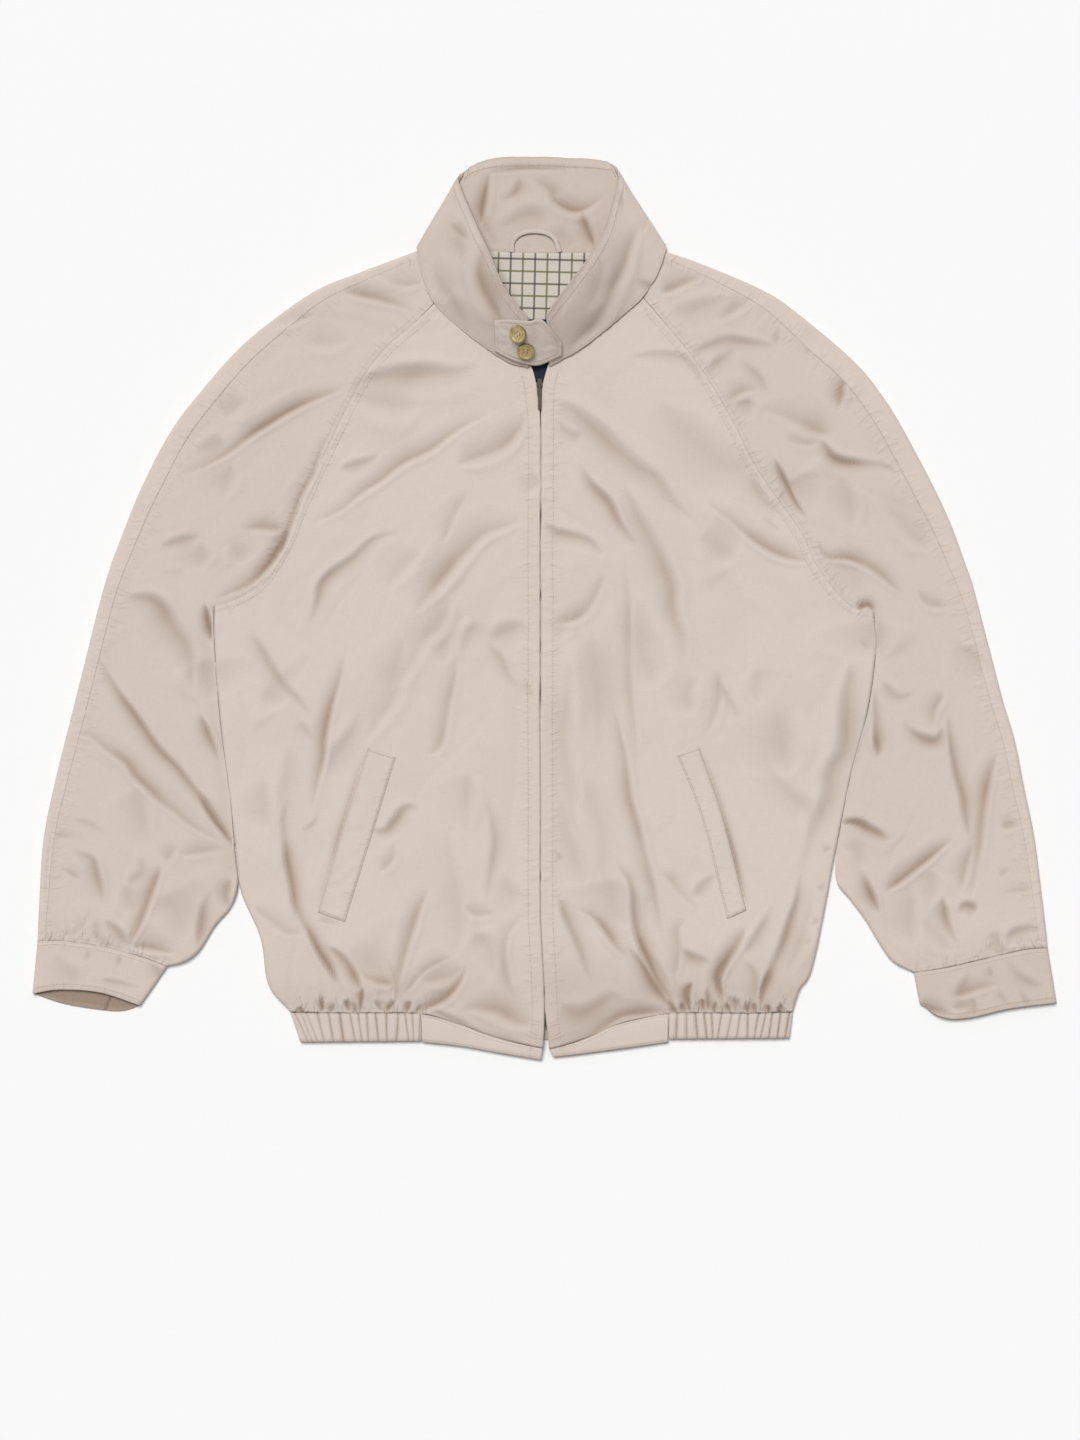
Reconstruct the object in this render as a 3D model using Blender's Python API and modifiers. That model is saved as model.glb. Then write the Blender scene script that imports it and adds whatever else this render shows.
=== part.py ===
"""A cotton bomber jacket laid flat with its front up: raglan sleeves, a tall stand collar with a throat tab,
a zip hidden under the front edges, two slanted welt pockets, cuffs and an elasticated hem band.

Every cut piece of cloth is its own thin wall. The places of the seams and folds are read on a layout sheet,
x to the right and y down, in steps of STEP; heights are in millimetres over the floor, which is z = 0.
"""

import math
from collections import namedtuple

import bmesh
import bpy
import numpy as np
from mathutils import Matrix, Vector
from mathutils.bvhtree import BVHTree

# Driving dimensions, in metres.
PIT_TO_PIT = 0.620
PIT_STEPS = 660  # the same width in steps of the layout sheet
STEP = PIT_TO_PIT / PIT_STEPS
SHEET_MIDDLE = (544.5, 608.2)  # the sheet's point over the origin
MM = 0.001

CLOTH = 1.6 * MM  # shell cloth with its facing
BAND_CLOTH = 1.8 * MM  # cuffs and hem band
COLLAR_CLOTH = 2.2 * MM
SEAM_GAP = 0.3 * MM
EDGE_GAP = 0.6 * MM  # between a sleeve and the body it lies against, to each side
LOFT = 6.2 * MM  # the upper layer's face over the floor
LOWEST = 3.9 * MM  # the deepest trough still clears the back
FOLD = 3.1 * MM  # half the thickness of a folded edge
PLACKET_RISE = 0.9 * MM  # along the zip
PLACKET_WIDTH = 16 * STEP
NECK_RISE = 0.7 * MM  # round the throat
NECK_MIDDLE = (545, 330)
NECK_REACH = 110 * STEP

BODY_MIDDLE = (544, 640)

# Seam and edge lines on the sheet, (x, y). A side runs up from the hem, a sleeve down from the neck.
SIDE_LEFT = ((290, 1012), (268, 985), (260, 938), (241, 893), (236, 855), (230, 800), (220, 720), (214, 640),
             (214, 606))
SIDE_RIGHT = ((793, 1012), (800, 990), (812, 970), (825, 910), (836, 850), (852, 770), (868, 710), (876, 650),
              (874, 612))
RAGLAN_LEFT = ((214, 606), (238, 598), (262, 580), (284, 545), (299, 508), (333, 435), (362, 378), (386, 347),
               (415, 322), (434, 303))
RAGLAN_RIGHT = ((874, 612), (855, 608), (835, 590), (815, 562), (800, 530), (758, 470), (735, 425), (712, 385),
                (690, 353), (643, 297))
BACK_RAGLAN_LEFT = ((214, 606), (262, 570), (320, 480), (385, 370), (440, 295), (470, 251))
BACK_RAGLAN_RIGHT = ((874, 612), (830, 575), (770, 480), (705, 370), (648, 295), (614, 254))
ZIP_LEFT_LOW = ((543, 1048), (544, 1020), (543, 985), (540, 920), (540, 606))
ZIP_LEFT_HIGH = ((540, 606), (540, 480), (539, 431), (538, 412), (537, 391), (534, 378), (530, 369))
ZIP_RIGHT_LOW = ((549, 1049), (547, 1020), (545, 985), (541.2, 920), (541.2, 606))
ZIP_RIGHT_HIGH = ((541.2, 606), (541.2, 480), (541, 431), (541.5, 412), (542, 391), (544, 381), (549, 367))
NECK_LEFT = ((434, 303), (445, 316), (462, 332), (484, 347), (510, 363), (530, 369))
NECK_RIGHT = ((643, 297), (629, 310), (608, 327), (584, 345), (565, 361), (549, 367))
BACK_NECK = ((470, 251), (545, 256), (614, 254))
HEM_LEFT = ((290, 1012), (350, 1013), (421, 1013.7), (460, 1025), (500, 1039), (543, 1048))
HEM_RIGHT = ((793, 1012), (740, 1013), (669, 1013.7), (620, 1023), (590, 1037), (549, 1049))
SLEEVE_TOP_LEFT = ((420, 249.5), (400, 257), (360, 272), (320, 288), (283, 312), (240, 347), (200, 392),
                   (170, 432), (140, 490), (112, 560))
SLEEVE_TOP_RIGHT = ((663, 250.5), (700, 263), (765, 291), (800, 315), (853, 360), (880, 392), (905, 432),
                    (945, 510), (972, 581))
SLEEVE_OUT_LEFT = ((112, 560), (100, 600), (85, 660), (70, 720), (55, 780), (43, 840), (39, 900), (37, 942))
SLEEVE_OUT_RIGHT = ((972, 581), (990, 650), (1003, 700), (1015, 740), (1025, 790), (1035, 840), (1045, 920),
                    (1048, 948))
SLEEVE_IN_LEFT = ((214, 606), (214, 640), (220, 720), (230, 800), (235, 855), (238, 885), (231, 907), (215, 926),
                  (200, 950), (185, 962), (167, 967))
SLEEVE_IN_RIGHT = ((874, 612), (876, 650), (868, 710), (852, 770), (837, 850), (837, 882), (850, 900),
                   (865, 920), (880, 945), (893, 962), (914, 973))

# How far the back of the sleeve comes over the top edge onto the front, in steps, from the neck to the cuff.
WRAP_AT = (0.0, 0.18, 0.36, 0.5, 0.75, 1.0)
WRAP_LEFT = (6, 17, 19, 14, 13, 8)
WRAP_RIGHT = (6, 22, 22, 13, 12, 8)

Fold = namedtuple("Fold", "line width left right dip")
# The largest folds. Width is in steps; the ridges to the left and the right of the line, as one follows it,
# and the trough on it are in millimetres.
FOLDS = (
    Fold(((180, 477), (240, 440), (300, 405), (370, 370), (450, 366)), 15, 4.6, 1.6, 2.2),
    Fold(((333, 432), (300, 500), (275, 555), (215, 600)), 15, 1.6, 4.2, 2.2),
    Fold(((305, 525), (400, 470), (490, 415)), 15, 3.2, 1.2, 1.6),
    Fold(((98, 660), (170, 750), (235, 850)), 15, 4.4, 1.6, 2.0),
    Fold(((80, 733), (140, 775), (232, 845)), 13, 2.6, 1.8, 1.6),
    Fold(((162, 868), (140, 915), (125, 948)), 12, 2.8, 3.4, 2.0),
    Fold(((250, 635), (290, 700), (315, 740)), 15, 2.6, 1.2, 1.4),
    Fold(((300, 740), (288, 860), (335, 985)), 15, 3.4, 2.4, 2.2),
    Fold(((450, 690), (490, 790), (490, 890)), 17, 1.6, 1.6, 1.0),
    Fold(((415, 895), (398, 975)), 15, 2.0, 2.0, 1.4),
    Fold(((560, 400), (620, 460), (690, 505), (760, 545)), 17, 4.6, 1.8, 2.2),
    Fold(((625, 485), (655, 560), (680, 650)), 14, 2.4, 2.6, 1.6),
    Fold(((622, 560), (628, 660), (632, 770)), 15, 1.6, 1.6, 1.0),
    Fold(((820, 445), (860, 464), (900, 475)), 13, 3.4, 1.4, 1.8),
    Fold(((775, 460), (795, 490), (822, 520)), 14, 3.2, 2.6, 2.2),
    Fold(((815, 540), (860, 562), (905, 597)), 15, 4.2, 1.8, 2.2),
    Fold(((945, 720), (955, 790), (970, 835)), 14, 2.8, 2.6, 1.8),
    Fold(((995, 750), (978, 830), (965, 900)), 14, 2.8, 3.0, 1.8),
    Fold(((970, 838), (930, 860), (885, 900)), 15, 1.6, 4.0, 2.0),
    Fold(((840, 820), (900, 848)), 13, 2.6, 1.6, 1.6),
    Fold(((800, 870), (780, 950), (760, 1000)), 14, 2.8, 2.8, 1.8),
    Fold(((735, 930), (717, 1000)), 13, 2.2, 2.4, 1.6),
    Fold(((630, 945), (670, 1000)), 13, 2.8, 2.0, 1.6),
    Fold(((635, 830), (660, 930)), 15, 1.6, 1.6, 1.2),
    Fold(((430, 1008), (465, 968)), 12, 2.4, 2.0, 1.4),
    Fold(((860, 660), (845, 740), (815, 840)), 16, 3.0, 1.2, 1.6),
)
FOLD_SPANS = 6
RIDGE_SPREAD = 0.75  # these three are in widths of the fold
TROUGH_SPREAD = 0.6
FOLD_TAPER = 1.6
FOLD_END = 0.25  # what is left of a fold at its ends
SOFTEST_DIP = 0.5 * MM

Station = namedtuple("Station", "seam_x seam_y seam_z edge_x edge_y edge_z bulge")
# The collar from its left front end round the nape to the right one. Heights and bulge are in millimetres
# and are the outer face's: the nape lies on the floor, so that face is its underside.
COLLAR = (
    Station(528, 368, 9.6, 528, 322, 46, 1.5),
    Station(510, 363, 9.6, 514, 306, 47, 2.0),
    Station(484, 347, 9.6, 501, 286, 44, 2.5),
    Station(455, 325, 9.6, 489, 255, 36, 3.0),
    Station(434, 303, 9.6, 477, 228, 26, 2.5),
    Station(423, 278, 9.6, 466, 202, 17, 1.5),
    Station(417.5, 254, 9.8, 460, 186, 11, 0.5),
    Station(418, 243.5, 5.4, 458, 176, 5.4, 0),
    Station(430, 246.6, 0.4, 468, 169, 0.4, 0),
    Station(450, 250, 0, 479, 163, 0, 0),
    Station(475, 250.3, 0, 492, 159, 0, 0),
    Station(510, 253.5, 0, 510, 157, 0, 0),
    Station(545, 255, 0, 540, 156.5, 0, 0),
    Station(585, 254.4, 0, 572, 158, 0, 0),
    Station(612, 252.8, 0, 592, 159.5, 0, 0),
    Station(636, 251, 0, 603, 161, 0, 0),
    Station(653, 247.2, 0.4, 611, 163, 0.4, 0),
    Station(665, 244.2, 5.4, 618, 170, 5.4, 0.5),
    Station(664.5, 255, 9.8, 618, 183, 11, 1.0),
    Station(656, 277, 9.6, 613, 203, 17, 1.5),
    Station(643, 297, 9.6, 606, 229, 26, 2.0),
    Station(627, 312, 9.6, 592, 255, 36, 2.5),
    Station(605, 330, 9.6, 574, 281, 43, 2.5),
    Station(580, 349, 9.6, 558, 302, 46, 2.0),
    Station(550, 367, 9.6, 547, 318, 46, 1.5),
)
COLLAR_CLEAR = 0.45 * MM
ON_FRONT = 7.5  # a seam height over this one lies on the front, and not on the nape

# Each cuff's seam and the two layers of its mouth, from the sleeve's outer edge to its inner one.
CUFF_LEFT = {"seam": ((37, 942), (60, 941), (102, 947), (140, 957), (167, 967)),
             "front": ((32, 994), (60, 990), (100, 993), (140, 1006)),
             "back": ((32, 996), (60, 1005), (90, 1010), (120, 1012), (140, 1006))}
CUFF_RIGHT = {"seam": ((1048, 948), (1025, 950), (980, 960), (945, 968), (914, 973)),
              "front": ((1057, 1003), (1010, 1009), (970, 1018), (944, 1018), (920, 1004)),
              "back": ((1057, 1005), (1010, 1008), (970, 1014), (944, 1014), (920, 1004))}
CUFF_GAP = 0.8 * MM
CUFF_RISE = 0.4 * MM  # a cuff's face over the sleeve's loft
CUFF_LAP = 0.7  # where the cuff's ends meet on its underside, as a share of its width

RIB_COUNT = 14  # in each stretch of the elastic that shows on the front
RIB_RISE = 1.1 * MM
ELASTIC_LEFT_END = 421
ELASTIC_RIGHT_END = 669
ELASTIC_TOP = ((290, 1014.3), (793, 1014.3))
ELASTIC_BOTTOM = ((300, 1042), (790, 1038))
BAND_RISE = 0.5 * MM
BAND_DROP = 1.2 * MM  # at its lower edge
BAND_GAP = 0.72 * MM  # under the hem seam, where both lines are far from level
BAND_LEFT_BOTTOM = ((422, 1042), (460, 1046), (500, 1053), (541, 1060))
BAND_RIGHT_BOTTOM = ((668, 1042), (640, 1046), (580, 1054), (553, 1057))

WELT_LEFT = {"mouth": ((368, 748), (345, 821), (318, 912)), "back": ((396, 757), (372, 835), (345, 922))}
WELT_RIGHT = {"mouth": ((699, 747), (722, 815), (746, 910)), "back": ((677, 755), (702, 820), (727, 919))}
WELT_CLOTH = 1.4 * MM
WELT_REACH = 5 * MM  # a welt clears the highest point of the front this near

TAB_BOTTOM = ((495, 352), (512, 361), (528, 365.5), (541, 365.5), (562, 356))
TAB_TOP = ((494, 322), (512, 323), (530, 325), (542, 324), (562, 344))
TAB_CLOTH = 2.0 * MM
TAB_REACH = 2.2 * MM
TAB_CLEAR = 1.5 * MM  # the tab's height over the collar, which slopes steeply here
BUTTON_DIAMETER = 16.5 * MM
BUTTON_DEPTH = 2.8 * MM
BUTTONS = (("button_upper", 519, 335), ("button_lower", 526, 352))

ZIP_CHAIN = {"from": -2.7 * MM, "to": 2.7 * MM, "depth": 1.3 * MM}
ZIP_TAPE = {"from": 3.2 * MM, "to": 13.2 * MM, "depth": 0.8 * MM}
ZIP_CLEAR = 0.75 * MM  # under the front edges
ZIP_LINE = ((541, 392), (540.6, 480), (540.6, 920), (544, 985), (545.5, 1030))
SLIDER = {"x": 539.7, "y": 383, "width": 5.0 * MM, "length": 8.4 * MM, "depth": 2.4 * MM}
LUG = {"width": 0.9 * MM, "length": 2.6 * MM, "height": 1.8 * MM, "apart": 2.6 * MM}
HINGE_RISE = 1.1 * MM  # the pull's hinge over the slider's face
PULL = {"width": 3.2 * MM, "length": 24 * MM, "depth": 1.0 * MM, "neck": 2.0 * MM}
NECK_LENGTH = 4.4 * MM
NECK_BACK = 0.5 * MM  # how far the neck reaches past its hinge
OVERLAP = 0.8 * MM  # of two blocks that become one

LINING_OUTLINE = ((452, 258), (545, 261), (632, 258), (622, 330), (590, 378), (545, 390), (495, 378), (462, 330))
LINING_CLOTH = 0.7 * MM
LABEL = {"x": (508, 570), "y": (312, 382)}
LABEL_CLOTH = 0.7 * MM
LOOP_LINE = ((514, 250), (515, 240), (524, 233), (536, 231), (549, 234), (557, 241), (559, 250))
LOOP_WIDTH = 3.8 * MM
LOOP_CLOTH = 0.9 * MM
LOOP_RISE = 3 * MM

STONE = (0.66, 0.57, 0.49, 1)
DARK_TAPE = (0.35, 0.31, 0.27, 1)
NAVY = (0.02, 0.03, 0.09, 1)
CREAM = (0.62, 0.56, 0.47, 1)
HORN = (0.42, 0.33, 0.17, 1)
METAL = (0.55, 0.53, 0.5, 1)


# --- lines and heights -------------------------------------------------------------------------------------


def plan(points):
    """Sheet points as (x, y) in metres."""
    points = np.asarray(points, float)
    return np.stack([points[..., 0] - SHEET_MIDDLE[0], SHEET_MIDDLE[1] - points[..., 1]], -1) * STEP


def spline(points, per_span=16):
    """A smooth line through the points, as many numbers wide as they are."""
    points = np.asarray(points, float)
    if len(points) == 2:
        return points[0] + (points[1] - points[0]) * np.linspace(0, 1, per_span + 1)[:, None]
    ends = np.vstack([2 * points[0] - points[1], points, 2 * points[-1] - points[-2]])
    t = np.linspace(0, 1, per_span, endpoint=False)[:, None]
    spans = []
    for before, start, end, after in zip(ends, ends[1:], ends[2:], ends[3:]):
        spans.append(0.5 * (2 * start + (end - before) * t
                            + (2 * before - 5 * start + 4 * end - after) * t**2
                            + (3 * start - before - 3 * end + after) * t**3))
    return np.vstack(spans + [points[-1:]])


def evenly(line, count):
    """The line at count + 1 places, evenly along its length."""
    length = np.r_[0, np.cumsum(np.linalg.norm(np.diff(line, axis=0), axis=1))]
    places = np.linspace(0, length[-1], count + 1)
    return np.stack([np.interp(places, length, column) for column in line.T], -1)


def edge(points, count):
    return evenly(spline(plan(points)), count)


def towards(start, end):
    way = end - start
    return way / np.linalg.norm(way, axis=-1, keepdims=True)


def moved_in(line, inside, distance):
    """An edge line moved sideways by distance, to the side on which the point inside lies."""
    along = towards(line[:-1], line[1:])
    along = np.vstack([along[:1], along[:-1] + along[1:], along[-1:]])
    across = np.stack([-along[:, 1], along[:, 0]], -1)
    across /= np.linalg.norm(across, axis=1, keepdims=True)
    middle = len(line) // 2
    if np.dot(across[middle], inside - line[middle]) < 0:
        across = -across
    return line + across * distance


def fold_height(fold, at):
    """How far one fold lifts or sinks the cloth at the points."""
    line = evenly(spline(plan(fold.line)), FOLD_SPANS)
    width = fold.width * STEP
    along = np.r_[0, np.cumsum(np.linalg.norm(np.diff(line, axis=0), axis=1))]
    nearest = np.full(at.shape[:-1], np.inf)
    side = np.zeros(at.shape[:-1])
    place = np.zeros(at.shape[:-1])
    for start, end, reached in zip(line, line[1:], along):
        way = end - start
        length = np.linalg.norm(way)
        offset = at - start
        share = np.clip((offset @ way) / length**2, 0, 1)
        apart = np.linalg.norm(offset - share[..., None] * way, axis=-1)
        nearer = apart < nearest
        turn = way[0] * offset[..., 1] - way[1] * offset[..., 0]
        side = np.where(nearer, np.sign(turn), side)
        place = np.where(nearer, reached + share * length, place)
        nearest = np.where(nearer, apart, nearest)
    taper = np.clip(np.minimum(place, along[-1] - place) / (FOLD_TAPER * width), 0, 1)
    taper = FOLD_END + (1 - FOLD_END) * taper * taper * (3 - 2 * taper)
    signed = nearest * side / width
    ridge_left = fold.left * np.exp(-(((signed - 1) / RIDGE_SPREAD) ** 2))
    ridge_right = fold.right * np.exp(-(((signed + 1) / RIDGE_SPREAD) ** 2))
    trough = fold.dip * np.exp(-((signed / TROUGH_SPREAD) ** 2))
    return (ridge_left + ridge_right - trough) * taper * MM


def height(at):
    """The upper layer's face over the floor, at points (x, y) in metres."""
    zip_x = np.interp(-at[..., 1], -plan(ZIP_LINE)[:, 1], plan(ZIP_LINE)[:, 0])
    neck = np.linalg.norm(at - plan(NECK_MIDDLE), axis=-1) / NECK_REACH
    placket = (at[..., 0] - zip_x) / PLACKET_WIDTH
    top = LOFT + PLACKET_RISE * np.exp(-(placket**2)) + NECK_RISE * np.exp(-(neck**4))
    for fold in FOLDS:
        top = top + fold_height(fold, at)
    return LOWEST + SOFTEST_DIP * np.logaddexp(0, (top - LOWEST) / SOFTEST_DIP)


# --- walls of cloth ----------------------------------------------------------------------------------------


def material(name, colour, roughness, metallic=0.0):
    made = bpy.data.materials.get(name) or bpy.data.materials.new(name)
    made.use_nodes = True
    shader = made.node_tree.nodes["Principled BSDF"]
    shader.inputs["Base Color"].default_value = colour
    shader.inputs["Roughness"].default_value = roughness
    shader.inputs["Metallic"].default_value = metallic
    return made


def stone_cloth():
    return material("stone_cotton", STONE, 0.85)


def finish(name, mesh, look, smooth=40):
    mesh.materials.append(look)
    mesh.shade_smooth()
    mesh.set_sharp_from_angle(angle=math.radians(smooth))
    made = bpy.data.objects.new(name, mesh)
    jacket.objects.link(made)
    return made


def wall(name, outer, inner, look):
    """A closed wall between two matching grids of points, (rows, columns, 3)."""
    rows, columns = outer.shape[:2]
    bm = bmesh.new()
    bmesh.ops.create_grid(bm, x_segments=columns - 1, y_segments=rows - 1, size=1)
    place = bm.verts.layers.int.new("place")
    for index, vert in enumerate(sorted(bm.verts, key=lambda v: (round(v.co.y, 4), v.co.x))):
        vert[place] = index
    first = list(bm.verts)
    made = bmesh.ops.extrude_face_region(bm, geom=list(bm.faces))
    second = [item for item in made["geom"] if isinstance(item, bmesh.types.BMVert)]
    for verts, points in ((first, outer), (second, inner)):
        flat = points.reshape(-1, 3)
        for vert in verts:
            vert.co = flat[vert[place]]
    bmesh.ops.recalc_face_normals(bm, faces=bm.faces)
    if bm.calc_volume(signed=True) < 0:
        bmesh.ops.reverse_faces(bm, faces=bm.faces)
    mesh = bpy.data.meshes.new(name)
    bm.to_mesh(mesh)
    bm.free()
    return finish(name, mesh, look)


class Strip:
    """Columns of outer and inner points, added side by side across a piece. Each is (rows, columns, 3)."""

    def __init__(self, cloth=CLOTH, bend=None):
        self.cloth = cloth
        self.bend = bend or (lambda at: at)
        self.outer = []
        self.inner = []

    def add(self, outer, inner):
        self.outer.append(outer)
        self.inner.append(inner)

    def flat(self, start, end, shares, top):
        """Cloth lying level from the start line to the end line: on the upper layer, or on the floor."""
        shares = np.asarray(shares, float)
        at = self.bend(start[:, None] + (end - start)[:, None] * shares[None, :, None])
        if callable(top):
            z = top(at)
            inner = z - self.cloth
        else:
            z = np.full(at.shape[:-1], float(top))
            inner = z + self.cloth
        self.add(np.dstack([at, z]), np.dstack([at, inner]))

    def fold(self, line, way, angles, rolled, top):
        """A folded edge: angles run from -90, on the floor, to 90 degrees, on top. Where rolled is 0 the cloth
        stays level and ends at the line."""
        turn = np.radians(np.asarray(angles, float))[None, :]
        rolled = np.asarray(rolled, float)[:, None]
        upper = np.sign(turn.sum())
        spread = FOLD * np.abs(turn)
        reach = rolled * FOLD * (1 - np.cos(turn)) + (1 - rolled) * spread
        rise = rolled * np.sin(turn) + (1 - rolled) * upper
        out = rolled * np.cos(turn)
        at = self.bend(line[:, None] + way[:, None] * reach[..., None])
        middle = LOFT / 2
        z_top = top(at)
        z = np.where(rise > 0, middle + rise * (z_top - middle), middle * (1 + rise))
        size = np.hypot(out, rise)
        inner_at = at + way[:, None] * (self.cloth * out / size)[..., None]
        inner_z = z - self.cloth * rise / size
        self.add(np.dstack([at, z]), np.dstack([inner_at, inner_z]))

    def make(self, name, look):
        return wall(name, np.concatenate(self.outer, 1), np.concatenate(self.inner, 1), look)


def folded_in(line, way, rolled):
    """Where the level cloth meets a folded edge."""
    rolled = np.asarray(rolled, float)[:, None]
    return line + way * FOLD * (rolled + (1 - rolled) * math.pi / 2)


QUARTER = (3, 45)  # the steps of a quarter turn at a folded edge, in degrees; the level cloth takes over at 90
LOW_ROWS = 20  # rows between the hem or cuff and the armpit
HIGH_ROWS = 16  # rows along a raglan seam


def joined(low, high):
    return np.vstack([low, high[1:]])


def rolled_rows(pit_last):
    """1 on each row with a folded edge and 0 along the raglan seam."""
    rolled = np.r_[np.ones(LOW_ROWS), np.zeros(HIGH_ROWS + 1)]
    return rolled if pit_last else rolled[::-1]


def bender(start, end, bows):
    """A function that bends a piece's end rows. Each bow is an end line's points and a weight for each row."""
    width = end - start

    def bend(at):
        share = ((at - start[:, None]) * width[:, None]).sum(2) / (width**2).sum(1)[:, None]
        share = np.clip(share, 0, 1)
        for points, weight in bows:
            curve = spline(plan(points))
            straight = curve[-1] - curve[0]
            along = ((curve - curve[0]) @ straight) / (straight @ straight)
            on_curve = np.stack([np.interp(share, along, column) for column in curve.T], -1)
            at = at + (on_curve - curve[0] - straight * share[..., None]) * weight[:, None, None]
        return at

    return bend


def last_rows(count, share):
    """A weight that grows to 1 over the last share of the rows."""
    return np.clip((np.linspace(0, 1, count) - 1 + share) / share, 0, 1) ** 2


def front(name, side, raglan, zip_low, zip_high, neck, hem):
    """A front, from the side fold and the raglan seam to the zip."""
    centre = plan(BODY_MIDDLE)
    outside = joined(moved_in(edge(side, LOW_ROWS), centre, EDGE_GAP),
                     moved_in(edge(raglan, HIGH_ROWS), centre, SEAM_GAP / 2))
    inside = joined(edge(zip_low, LOW_ROWS), edge(zip_high, HIGH_ROWS))
    rolled = rolled_rows(True)
    way = towards(outside, inside)
    begin = folded_in(outside, way, rolled)
    rows = len(outside)
    strip = Strip(bend=bender(outside, inside, ((neck, last_rows(rows, 0.4)), (hem, last_rows(rows, 0.35)[::-1]))))
    strip.fold(outside, way, QUARTER, rolled, height)
    strip.flat(begin, inside, np.linspace(0, 1, 15), height)
    return strip.make(name, stone_cloth())


def back():
    """The back, between both side folds and both back raglan seams. It lies on the floor."""
    centre = plan(BODY_MIDDLE)
    lines = []
    for side, raglan in ((SIDE_LEFT, BACK_RAGLAN_LEFT), (SIDE_RIGHT, BACK_RAGLAN_RIGHT)):
        lines.append(joined(moved_in(edge(side, LOW_ROWS), centre, EDGE_GAP),
                            moved_in(edge(raglan, HIGH_ROWS), centre, SEAM_GAP / 2)))
    left, right = lines
    rolled = rolled_rows(True)
    way = towards(left, right)
    down = [-angle for angle in QUARTER]
    strip = Strip(bend=bender(left, right, ((BACK_NECK, last_rows(len(left), 0.2)),)))
    strip.fold(left, way, down, rolled, height)
    strip.flat(folded_in(left, way, rolled), folded_in(right, -way, rolled), np.linspace(0, 1, 5), 0)
    strip.fold(right, -way, down[::-1], rolled, height)
    return strip.make("back", stone_cloth())


def sleeve_lines(outline, raglan, inner):
    """The sleeve's outer edge and its seam or inner edge, from the neck to the cuff."""
    top, out = outline
    middle = plan(outline[0][-1]) * 0.5 + plan(inner[0]) * 0.5
    outside = joined(edge(top, HIGH_ROWS), edge(out, LOW_ROWS))
    inside = joined(moved_in(edge(raglan, HIGH_ROWS)[::-1], middle, SEAM_GAP / 2),
                    moved_in(edge(inner, LOW_ROWS), middle, EDGE_GAP))
    return outside, inside


def sleeve(side, outline, raglan, back_raglan, inner, wrap, cuff_seam):
    """The two pieces of a sleeve, seamed along the top edge and under the arm."""
    outside, inside = sleeve_lines(outline, raglan, inner)
    under = sleeve_lines(outline, back_raglan, inner)[1]
    rolled = rolled_rows(False)
    way = towards(outside, inside)
    rows = np.linspace(0, 1, len(outside))
    seam = outside + way * (np.interp(rows, WRAP_AT, wrap) * STEP)[:, None]
    cuff_rows = (cuff_seam, last_rows(len(outside), 0.2))
    strip = Strip(bend=bender(outside, inside, (cuff_rows,)))
    strip.flat(seam + way * SEAM_GAP / 2, folded_in(inside, -way, rolled), np.linspace(0, 1, 12), height)
    strip.fold(inside, -way, QUARTER[::-1], rolled, height)
    strip.make(f"sleeve_{side}_front", stone_cloth())

    under_way = towards(under, outside)
    strip = Strip(bend=bender(outside, inside, (cuff_rows,)))
    strip.fold(under, under_way, [-angle for angle in QUARTER], rolled, height)
    strip.flat(folded_in(under, under_way, rolled), outside + way * FOLD, np.linspace(0, 1, 6), 0)
    whole = np.ones(len(outside))
    strip.fold(outside, way, (-45, -0.01), whole, height)
    strip.fold(outside, way, (45,), whole, height)
    strip.flat(outside + way * FOLD, seam - way * SEAM_GAP / 2, (0, 1), height)
    strip.make(f"sleeve_{side}_back", stone_cloth())


def cuff_height(at):
    return np.full(at.shape[:-1], LOFT + CUFF_RISE)


def cuff(side, lines):
    """A cuff band, wrapped round from its lap on the underside and open at both ends."""
    rows = 5
    down = np.linspace(0, 1, rows)
    ends = [spline(plan(lines[key])) for key in ("seam", "front")]
    left, right = (ends[0][end] + (ends[1][end] - ends[0][end]) * down[:, None] for end in (0, -1))
    way = towards(left, right)
    up = np.array((-way[0, 1], way[0, 0]))
    up = up if up[1] > 0 else -up
    left = left - up * CUFF_GAP
    right = right - up * CUFF_GAP
    whole = np.ones(rows)
    start = folded_in(left, way, whole)
    end = folded_in(right, -way, whole)
    strip = Strip(BAND_CLOTH)
    on_front = bender(left, right, ((lines["seam"], 1 - down), (lines["front"], down)))
    on_back = bender(left, right, ((lines["seam"], 1 - down), (lines["back"], down)))
    lap = SEAM_GAP / np.linalg.norm(end[0] - start[0])
    strip.bend = on_back
    strip.flat(start, end, np.linspace(CUFF_LAP + lap, 1, 4), 0)
    strip.fold(right, -way, (-45, -0.01), whole, cuff_height)
    strip.bend = on_front
    strip.fold(right, -way, (45,), whole, cuff_height)
    strip.flat(start, end, np.linspace(1, 0, 10), cuff_height)
    strip.fold(left, way, (45, 0.01), whole, cuff_height)
    strip.bend = on_back
    strip.fold(left, way, (-45,), whole, cuff_height)
    strip.flat(start, end, np.linspace(0, CUFF_LAP, 7), 0)
    return strip.make(f"cuff_{side}", stone_cloth())


# --- hem ---------------------------------------------------------------------------------------------------


def hem_height(at):
    return np.full(at.shape[:-1], LOFT)


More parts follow.
